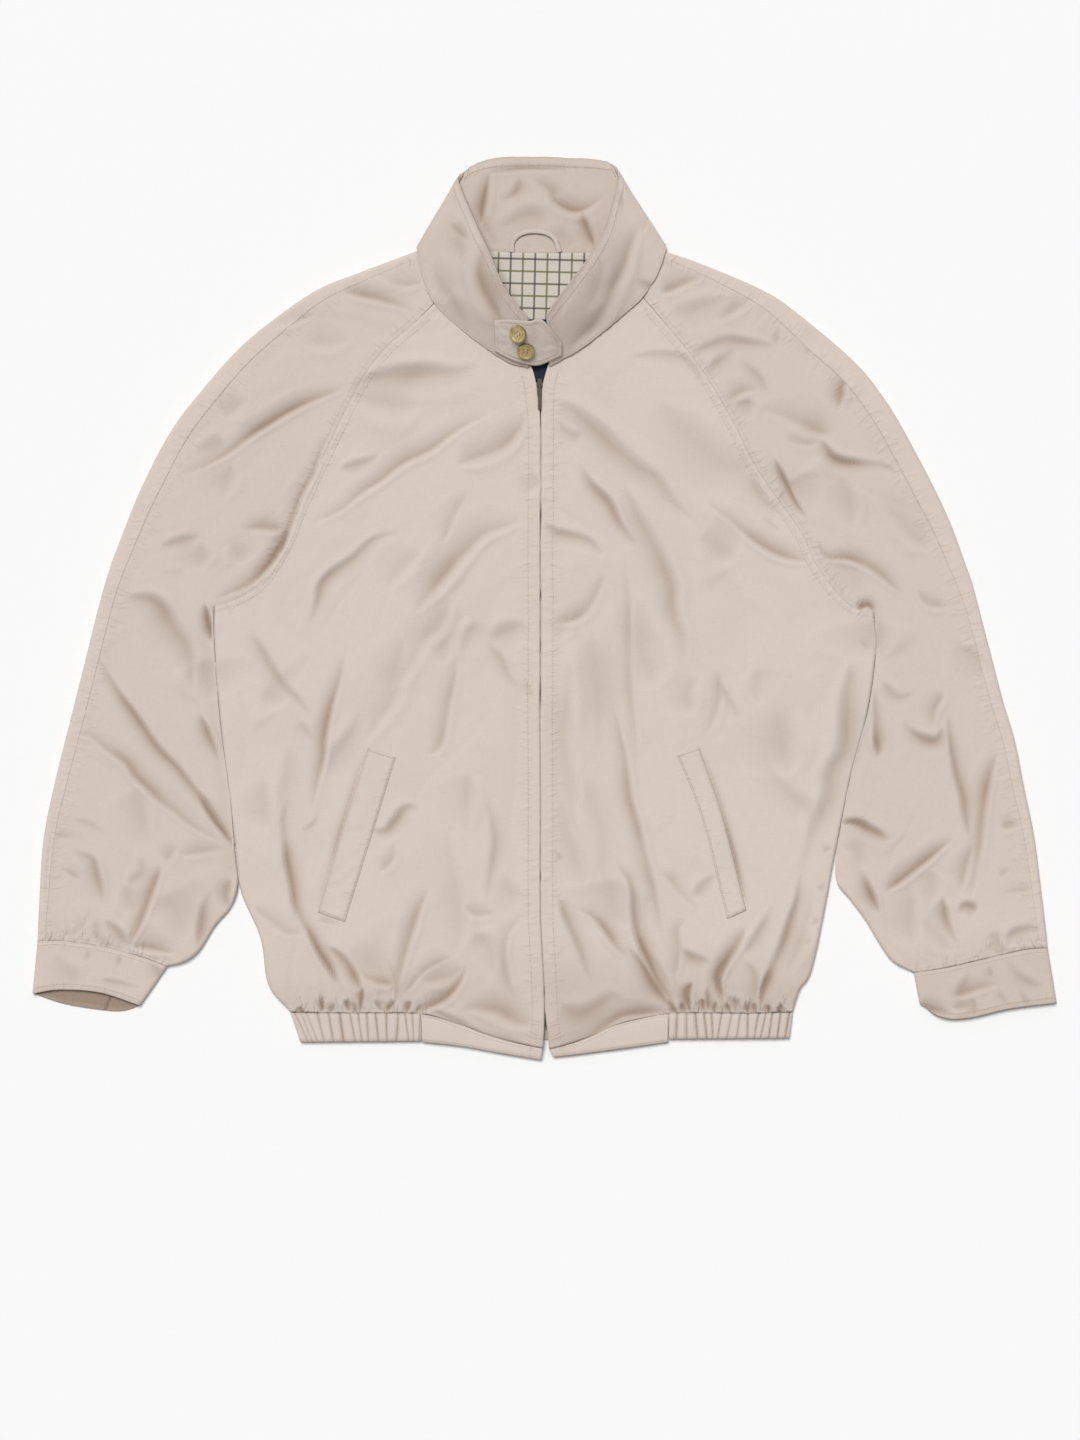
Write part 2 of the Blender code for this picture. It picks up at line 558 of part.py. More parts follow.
def hem_elastic():
    """The ribbed strip with elastic in it: from one front round both sides and the back to the other."""
    top = plan(ELASTIC_TOP)
    bottom = plan(ELASTIC_BOTTOM)
    down = np.linspace(0, 1, 3)[:, None]
    left = top[0] + (bottom[0] - top[0]) * down
    right = top[1] + (bottom[1] - top[1]) * down
    left[:, 1] -= SEAM_GAP
    right[:, 1] -= SEAM_GAP
    way = towards(left, right)
    whole = np.ones(3)
    steps = 4 * RIB_COUNT

    def ribs(strip, start, end):
        shares = np.linspace(0, 1, steps + 1)
        strip.flat(start, end, shares, hem_height)
        swell = np.sin(np.pi * shares * RIB_COUNT) ** 2
        fade = np.array((0.35, 1, 0.6))[:, None]
        strip.outer[-1][..., 2] += RIB_RISE * swell[None] * fade

    def end_at(x):
        share = (plan((x, 0))[0] - left[:, :1]) / (right - left)[:, :1]
        return left + (right - left) * share

    strip = Strip(BAND_CLOTH)
    ribs(strip, end_at(ELASTIC_LEFT_END), left + way * FOLD)
    strip.fold(left, way, (45, 0.01), whole, hem_height)
    strip.fold(left, way, (-45,), whole, hem_height)
    strip.flat(left + way * FOLD, right - way * FOLD, (0, 0.5, 1), 0)
    strip.fold(right, -way, (-45, -0.01), whole, hem_height)
    strip.fold(right, -way, (45,), whole, hem_height)
    ribs(strip, right - way * FOLD, end_at(ELASTIC_RIGHT_END))
    return strip.make("hem_elastic", stone_cloth())


def hem_band(name, hem, bottom, outer_end):
    """A plain end of the hem band, beside the zip. It hangs a little over the elastic behind it."""
    columns = 9
    top_line = spline(plan([point for point in hem if (point[0] - outer_end) * (hem[-1][0] - outer_end) >= 0]))
    top_line = evenly(top_line, columns - 1)
    low_line = evenly(spline(plan(bottom)), columns - 1)
    inward = np.sign(low_line[-1, 0] - low_line[0, 0])
    top_line[:, 1] -= BAND_GAP
    top_line[0, 0] += inward * 2 * SEAM_GAP
    shares = np.linspace(0, 1, 4)[:, None, None]
    at = top_line[None] + (low_line - top_line)[None] * shares
    z = LOFT + BAND_RISE - BAND_DROP * shares[..., 0] ** 3 * np.ones(columns)
    outer = np.dstack([at, z])
    inner = np.dstack([at, z - BAND_CLOTH])
    return wall(name, outer, inner, stone_cloth())


# --- pieces that lie on others -----------------------------------------------------------------------------


def top_over(pieces):
    """A function that gives the highest point of the pieces under (x, y), or nothing beside them."""
    trees = []
    for piece in pieces:
        mesh = piece.data
        trees.append(BVHTree.FromPolygons([v.co for v in mesh.vertices], [p.vertices for p in mesh.polygons]))

    def top(x, y):
        hits = [tree.ray_cast(Vector((x, y, 1)), Vector((0, 0, -1)))[0] for tree in trees]
        hits = [hit.z for hit in hits if hit is not None]
        return max(hits) if hits else math.nan

    return top


def welt(name, lines, panel):
    """A pocket's welt on a front, made from the front's own points and moved out."""
    top = top_over([panel])
    reaches = (-WELT_REACH, 0, WELT_REACH)
    rows, columns = 10, 4
    mouth, rear = (edge(lines[key], rows - 1) for key in ("mouth", "back"))
    at = mouth[:, None] + (rear - mouth)[:, None] * np.linspace(0, 1, columns)[None, :, None]
    z = np.empty((rows, columns))
    for row in range(rows):
        for column in range(columns):
            x, y = at[row, column]
            around = [top(x + dx, y + dy) for dx in reaches for dy in reaches]
            z[row, column] = max(around) + SEAM_GAP + WELT_CLOTH
    return wall(name, np.dstack([at, z]), np.dstack([at, z - WELT_CLOTH]), stone_cloth())


def collar():
    """The stand collar: a loft through its stations, flat on the floor at the nape."""
    table = np.array(COLLAR, float)
    per_station = 3
    columns = per_station * (len(table) - 1)
    line = spline(table, 24)
    keys = np.linspace(0, len(line) - 1, columns + 1).round().astype(int)
    line = line[keys]
    seam = plan(line[:, 0:2])
    rim = plan(line[:, 3:5])
    seam_z = line[:, 2] * MM
    on_front = line[:, 2] > ON_FRONT
    clear = height(seam) + COLLAR_CLOTH + COLLAR_CLEAR
    seam_z = np.where(on_front, np.maximum(seam_z, clear), seam_z)
    rows = 6
    shares = np.linspace(0, 1, rows)[:, None]
    at = seam[None] + (rim - seam)[None] * shares[..., None]
    z = seam_z[None] + (line[:, 5] * MM - seam_z)[None] * shares
    z = z + line[:, 6][None] * MM * np.sin(np.pi * shares)
    z = np.maximum(z, 0)
    outer = np.dstack([at, z])
    along = np.gradient(outer, axis=1)
    up = np.gradient(outer, axis=0)
    normal = np.cross(up, along)
    normal /= np.linalg.norm(normal, axis=2, keepdims=True)
    nape = normal[rows // 2, columns // 2]
    normal = normal if nape[2] < 0 else -normal
    return wall("collar", outer, outer - normal * COLLAR_CLOTH, stone_cloth())


def throat_tab(collar_piece):
    """The tab that closes the collar, lying on both of its ends."""
    top = top_over([collar_piece])
    rows, columns = 8, 15
    low, high = (edge(line, columns - 1) for line in (TAB_BOTTOM, TAB_TOP))
    shares = np.linspace(0, 1, rows)[:, None, None]
    at = low[None] + (high - low)[None] * shares
    z = np.empty((rows, columns))
    for row in range(rows):
        found = []
        for x, y in at[row]:
            around = np.array([top(x + dx, y) for dx in (-TAB_REACH, 0, TAB_REACH)])
            found.append(np.nanmax(around) if np.isfinite(around).any() else math.nan)
        found = np.array(found)
        held = ~np.isnan(found)
        z[row] = np.interp(at[row, :, 0], at[row, held, 0], found[held])
    z += TAB_CLOTH + TAB_CLEAR
    return wall("throat_tab", np.dstack([at, z]), np.dstack([at, z - TAB_CLOTH]), stone_cloth())


def button(name, x, y, tab):
    """A four-hole horn button's disc with its raised rim, turned, and set on the tab."""
    radius = BUTTON_DIAMETER / 2
    profile = ((0, 0.62), (0.62, 0.62), (0.7, 1), (0.93, 1), (1, 0.7), (1, 0.3), (0.9, 0), (0, 0))
    curve = bpy.data.meshes.new(name)
    points = [(r * radius, 0, h * BUTTON_DEPTH) for r, h in profile]
    curve.from_pydata(points, [(i, i + 1) for i in range(len(points) - 1)], [])
    made = bpy.data.objects.new(name, curve)
    jacket.objects.link(made)
    turn = made.modifiers.new("turn", "SCREW")
    turn.steps = turn.render_steps = 24
    turn.use_merge_vertices = True
    turn.merge_threshold = 1e-5
    curve.materials.append(material("horn", HORN, 0.35))
    top = top_over([tab])
    reach = radius * 0.8
    px, py = plan((x, y))
    around = [Vector((px + dx, py + dy, top(px + dx, py + dy)))
              for dx, dy in ((-reach, 0), (reach, 0), (0, -0.7 * reach), (0, 0.7 * reach))]
    up = (around[1] - around[0]).cross(around[3] - around[2]).normalized()
    middle = Vector((px, py, top(px, py)))
    lift = max((point - middle).dot(up) for point in around + [middle])
    made.matrix_world = (Matrix.Translation(middle + up * (lift + SEAM_GAP))
                         @ up.to_track_quat("Z", "Y").to_matrix().to_4x4())
    return made


# --- zip ---------------------------------------------------------------------------------------------------


def zip_strip(name, sizes, side, look):
    """The zip's chain or one of its tapes, just under the front edges."""
    rows = 28
    middle = edge(ZIP_LINE, rows)
    across = np.array((side, 0.0))
    at = np.stack([middle + across * sizes["from"], middle + across * sizes["to"]], 1)
    level = np.minimum(height(at).min(1), height(middle))
    z = np.repeat((level - CLOTH - ZIP_CLEAR)[:, None], 2, 1)
    return wall(name, np.dstack([at, z]), np.dstack([at, z - sizes["depth"]]), look)


def block(name, size, place, look, bevel=0.0):
    bm = bmesh.new()
    bmesh.ops.create_cube(bm, size=1)
    bmesh.ops.scale(bm, vec=size, verts=bm.verts)
    bmesh.ops.translate(bm, vec=place, verts=bm.verts)
    if bevel:
        bmesh.ops.bevel(bm, geom=bm.edges[:], offset=bevel, segments=2, profile=0.5, affect="EDGES")
    mesh = bpy.data.meshes.new(name)
    bm.to_mesh(mesh)
    bm.free()
    return finish(name, mesh, look, 50)


def united(body, piece):
    """The body with the piece joined to it; the piece itself becomes a hidden helper."""
    union = body.modifiers.new("join", "BOOLEAN")
    union.operation = "UNION"
    union.object = piece
    piece.hide_render = True
    piece.display_type = "WIRE"
    jacket.objects.unlink(piece)
    helpers.objects.link(piece)


def zip_slider():
    """The slider where the zip ends, with two lugs that hold the pull. It returns the hinge's place."""
    look = material("zip_metal", METAL, 0.35, 1)
    x, y = plan((SLIDER["x"], SLIDER["y"]))
    chain_top = height(plan((ZIP_LINE[0],)))[0] - CLOTH
    low = chain_top + SEAM_GAP
    bevel = 0.6 * MM
    body = block("zip_slider", (SLIDER["width"], SLIDER["length"], SLIDER["depth"]),
                 (x, y, low + SLIDER["depth"] / 2), look, bevel)
    hinge_y = y - (SLIDER["length"] - LUG["length"]) / 2 + bevel
    lug_z = low + SLIDER["depth"] + (LUG["height"] - OVERLAP) / 2
    for side in (-1, 1):
        lug_x = x + side * (LUG["apart"] + LUG["width"]) / 2
        lug = block(f"lug_{side}", (LUG["width"], LUG["length"], LUG["height"] + OVERLAP),
                    (lug_x, hinge_y, lug_z), look)
        united(body, lug)
    return Vector((x, hinge_y, low + SLIDER["depth"] + HINGE_RISE))


def zip_pull(hinge):
    """The pull: a narrow neck between the lugs and a wider plate down the front. Its object stands on the hinge."""
    look = material("zip_metal", METAL, 0.35, 1)
    neck = block("zip_pull", (PULL["neck"], NECK_LENGTH, PULL["depth"]), (0, NECK_BACK - NECK_LENGTH / 2, 0), look)
    plate_length = PULL["length"] - NECK_LENGTH
    plate = block("pull_plate", (PULL["width"], plate_length, PULL["depth"]),
                  (0, NECK_BACK + OVERLAP - NECK_LENGTH - plate_length / 2, 0), look)
    united(neck, plate)
    for piece in (neck, plate):
        piece.location = hinge
    return neck


# --- inside the neck ---------------------------------------------------------------------------------------


def flat_outline(name, outline, low, cloth, look, smooth=True):
    """A flat piece of cloth from its outline."""
    curve = bpy.data.curves.new(name, "CURVE")
    curve.dimensions = "2D"
    curve.fill_mode = "BOTH"
    curve.extrude = cloth / 2
    line = curve.splines.new("POLY")
    points = evenly(spline(plan(tuple(outline) + (outline[0],)), 8), 28)[:-1] if smooth else plan(outline)
    line.points.add(len(points) - 1)
    for point, (x, y) in zip(line.points, points):
        point.co = (x, y, 0, 1)
    line.use_cyclic_u = True
    curve.materials.append(look)
    made = bpy.data.objects.new(name, curve)
    made.location.z = low + cloth / 2
    jacket.objects.link(made)
    return made


def hanging_loop(low):
    """The loop at the nape, a tape that lies on the collar's inner face."""
    middle = edge(LOOP_LINE, 14)
    along = towards(middle[:-1], middle[1:])
    along = np.vstack([along[:1], along[:-1] + along[1:], along[-1:]])
    across = np.stack([-along[:, 1], along[:, 0]], -1)
    across /= np.linalg.norm(across, axis=1, keepdims=True)
    sides = np.array((-0.5, 0.5)) * LOOP_WIDTH
    at = middle[:, None] + across[:, None] * sides[None, :, None]
    rise = np.sin(np.pi * np.linspace(0, 1, len(middle)))[:, None] * np.ones(2)
    z = low + LOOP_CLOTH + LOOP_RISE * rise
    return wall("hanging_loop", np.dstack([at, z]), np.dstack([at, z - LOOP_CLOTH]),
                material("lining", CREAM, 0.8))


# --- the jacket --------------------------------------------------------------------------------------------

for item in list(bpy.data.objects):
    bpy.data.objects.remove(item, do_unlink=True)
jacket = bpy.data.collections.new("bomber_jacket")
helpers = bpy.data.collections.new("bomber_jacket_helpers")
for group in (jacket, helpers):
    bpy.context.scene.collection.children.link(group)

front_left = front("front_left", SIDE_LEFT, RAGLAN_LEFT, ZIP_LEFT_LOW, ZIP_LEFT_HIGH, NECK_LEFT, HEM_LEFT)
front_right = front("front_right", SIDE_RIGHT, RAGLAN_RIGHT, ZIP_RIGHT_LOW, ZIP_RIGHT_HIGH, NECK_RIGHT, HEM_RIGHT)
back()
sleeve("left", (SLEEVE_TOP_LEFT, SLEEVE_OUT_LEFT), RAGLAN_LEFT, BACK_RAGLAN_LEFT, SLEEVE_IN_LEFT, WRAP_LEFT,
       CUFF_LEFT["seam"])
sleeve("right", (SLEEVE_TOP_RIGHT, SLEEVE_OUT_RIGHT), RAGLAN_RIGHT, BACK_RAGLAN_RIGHT, SLEEVE_IN_RIGHT, WRAP_RIGHT,
       CUFF_RIGHT["seam"])
cuff("left", CUFF_LEFT)
cuff("right", CUFF_RIGHT)
hem_elastic()
hem_band("hem_band_left", HEM_LEFT, BAND_LEFT_BOTTOM, ELASTIC_LEFT_END)
hem_band("hem_band_right", HEM_RIGHT, BAND_RIGHT_BOTTOM, ELASTIC_RIGHT_END)
collar_piece = collar()
tab_piece = throat_tab(collar_piece)
for name, x, y in BUTTONS:
    button(name, x, y, tab_piece)
welt("pocket_welt_left", WELT_LEFT, front_left)
welt("pocket_welt_right", WELT_RIGHT, front_right)
tape = material("zip_tape", DARK_TAPE, 0.8)
zip_strip("zip_chain", ZIP_CHAIN, 1, tape)
zip_strip("zip_tape_left", ZIP_TAPE, -1, tape)
zip_strip("zip_tape_right", ZIP_TAPE, 1, tape)
zip_pull(zip_slider())
lining_low = CLOTH + SEAM_GAP
flat_outline("lining_neck", LINING_OUTLINE, lining_low, LINING_CLOTH, material("lining", CREAM, 0.8))
label_corners = [(x, y) for x, y in zip(LABEL["x"] + LABEL["x"][::-1], (LABEL["y"][0],) * 2 + (LABEL["y"][1],) * 2)]
flat_outline("label", label_corners, lining_low + LINING_CLOTH + SEAM_GAP, LABEL_CLOTH,
             material("label", NAVY, 0.6), smooth=False)
hanging_loop(COLLAR_CLOTH + SEAM_GAP)
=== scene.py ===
import math

import bpy
import numpy as np
from mathutils import Matrix, Vector
from mathutils.bvhtree import BVHTree


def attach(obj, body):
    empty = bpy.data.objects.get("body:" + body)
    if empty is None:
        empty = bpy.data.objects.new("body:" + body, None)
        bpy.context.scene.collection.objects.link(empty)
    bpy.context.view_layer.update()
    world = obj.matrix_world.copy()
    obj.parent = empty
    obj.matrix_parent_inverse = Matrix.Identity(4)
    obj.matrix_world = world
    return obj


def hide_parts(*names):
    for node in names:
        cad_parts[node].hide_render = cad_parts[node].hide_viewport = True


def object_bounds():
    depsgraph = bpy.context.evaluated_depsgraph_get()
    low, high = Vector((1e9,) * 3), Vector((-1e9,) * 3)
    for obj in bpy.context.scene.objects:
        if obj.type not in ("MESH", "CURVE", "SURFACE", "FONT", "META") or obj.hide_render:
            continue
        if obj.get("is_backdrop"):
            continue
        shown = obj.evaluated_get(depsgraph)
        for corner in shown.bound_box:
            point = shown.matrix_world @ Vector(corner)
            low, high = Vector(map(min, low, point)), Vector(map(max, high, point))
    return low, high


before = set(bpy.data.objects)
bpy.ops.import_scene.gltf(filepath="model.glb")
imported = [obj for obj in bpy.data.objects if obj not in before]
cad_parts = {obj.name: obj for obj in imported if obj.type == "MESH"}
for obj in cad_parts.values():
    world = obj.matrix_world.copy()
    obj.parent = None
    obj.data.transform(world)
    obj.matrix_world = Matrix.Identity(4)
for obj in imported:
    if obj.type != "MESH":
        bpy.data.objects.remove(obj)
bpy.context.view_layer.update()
print("frame loaded")

# The jacket lies on z = 0 with its front up. Places are read on a layout sheet, x right and y down.
mm = 0.001
step = 0.620 / 660
sheetMiddle = (544.5, 608.2)


def onSheet(points):
    points = np.asarray(points, float)
    return np.stack([points[..., 0] - sheetMiddle[0], sheetMiddle[1] - points[..., 1]], -1) * step


def smoothLine(points, perSpan=16):
    points = np.asarray(points, float)
    if len(points) == 2:
        return points[0] + (points[1] - points[0]) * np.linspace(0, 1, perSpan + 1)[:, None]
    ends = np.vstack([2 * points[0] - points[1], points, 2 * points[-1] - points[-2]])
    t = np.linspace(0, 1, perSpan, endpoint=False)[:, None]
    spans = []
    for before, start, end, after in zip(ends, ends[1:], ends[2:], ends[3:]):
        spans.append(0.5 * (2 * start + (end - before) * t + (2 * before - 5 * start + 4 * end - after) * t**2
                            + (3 * start - before - 3 * end + after) * t**3))
    return np.vstack(spans + [points[-1:]])


def lengthsAlong(line):
    return np.r_[0, np.cumsum(np.linalg.norm(np.diff(line, axis=0), axis=1))]


def evenLine(line, count):
    length = lengthsAlong(line)
    places = np.linspace(0, length[-1], count + 1)
    return np.stack([np.interp(places, length, column) for column in line.T], -1)


def edgeLine(points, count):
    return evenLine(smoothLine(onSheet(points)), count)


def towards(start, end):
    way = end - start
    return way / np.linalg.norm(way, axis=-1, keepdims=True)


def sideways(line):
    along = towards(line[:-1], line[1:])
    along = np.vstack([along[:1], along[:-1] + along[1:], along[-1:]])
    across = np.stack([-along[:, 1], along[:, 0]], -1)
    return across / np.linalg.norm(across, axis=1, keepdims=True)


def movedIn(line, inside, distance):
    across = sideways(line)
    middle = len(line) // 2
    if np.dot(across[middle], inside - line[middle]) < 0:
        across = -across
    return line + across * distance


# Seams and edges. A side runs up from the hem, a sleeve down from the neck.
lines = {
    "sideLeft": ((290, 1012), (268, 985), (260, 938), (241, 893), (236, 855), (230, 800), (220, 720),
                 (214, 640), (214, 606)),
    "sideRight": ((793, 1012), (800, 990), (812, 970), (825, 910), (836, 850), (852, 770), (868, 710),
                  (876, 650), (874, 612)),
    "raglanLeft": ((214, 606), (238, 598), (262, 580), (284, 545), (299, 508), (333, 435), (362, 378),
                   (386, 347), (415, 322), (434, 303)),
    "raglanRight": ((874, 612), (855, 608), (835, 590), (815, 562), (800, 530), (758, 470), (735, 425),
                    (712, 385), (690, 353), (643, 297)),
    "backRaglanLeft": ((214, 606), (262, 570), (320, 480), (385, 370), (440, 295), (470, 251)),
    "backRaglanRight": ((874, 612), (830, 575), (770, 480), (705, 370), (648, 295), (614, 254)),
    "zipLeftLow": ((543, 1048), (544, 1020), (543, 985), (540, 920), (540, 606)),
    "zipLeftHigh": ((540, 606), (540, 480), (539, 431), (538, 412), (537, 391), (534, 378), (530, 369)),
    "zipRightLow": ((549, 1049), (547, 1020), (545, 985), (541.2, 920), (541.2, 606)),
    "zipRightHigh": ((541.2, 606), (541.2, 480), (541, 431), (541.5, 412), (542, 391), (544, 381),
                     (549, 367)),
    "neckLeft": ((434, 303), (445, 316), (462, 332), (484, 347), (510, 363), (530, 369)),
    "neckRight": ((643, 297), (629, 310), (608, 327), (584, 345), (565, 361), (549, 367)),
    "backNeck": ((470, 251), (545, 256), (614, 254)),
    "hemLeft": ((290, 1012), (350, 1013), (421, 1013.7), (460, 1025), (500, 1039), (543, 1048)),
    "hemRight": ((793, 1012), (740, 1013), (669, 1013.7), (620, 1023), (590, 1037), (549, 1049)),
    "sleeveTopLeft": ((420, 249.5), (400, 257), (360, 272), (320, 288), (283, 312), (240, 347), (200, 392),
                      (170, 432), (140, 490), (112, 560)),
    "sleeveTopRight": ((663, 250.5), (700, 263), (765, 291), (800, 315), (853, 360), (880, 392), (905, 432),
                       (945, 510), (972, 581)),
    "sleeveOutLeft": ((112, 560), (100, 600), (85, 660), (70, 720), (55, 780), (43, 840), (39, 900),
                      (37, 942)),
    "sleeveOutRight": ((972, 581), (990, 650), (1003, 700), (1015, 740), (1025, 790), (1035, 840),
                       (1045, 920), (1048, 948)),
    "sleeveInLeft": ((214, 606), (214, 640), (220, 720), (230, 800), (235, 855), (238, 885), (231, 907),
                     (215, 926), (200, 950), (185, 962), (167, 967)),
    "sleeveInRight": ((874, 612), (876, 650), (868, 710), (852, 770), (837, 850), (837, 882), (850, 900),
                      (865, 920), (880, 945), (893, 962), (914, 973)),
    "cuffSeamLeft": ((37, 942), (60, 941), (102, 947), (140, 957), (167, 967)),
    "cuffSeamRight": ((1048, 948), (1025, 950), (980, 960), (945, 968), (914, 973)),
    "zip": ((541, 392), (540.6, 480), (540.6, 920), (544, 985), (545.5, 1030)),
}

# Heights in millimetres; widths in steps of the sheet.
cloth = {"thick": 1.1, "seamGap": 0.08, "edgeGap": 0.6, "loft": 6.9, "lowest": 3.3, "fold": 3.1,
         "softest": 0.5, "placketRise": 0.9, "placketWidth": 16, "neckRise": 0.7, "neckMiddle": (545, 330),
         "neckReach": 110, "plainHem": 118}
bodyMiddle = (544, 640)

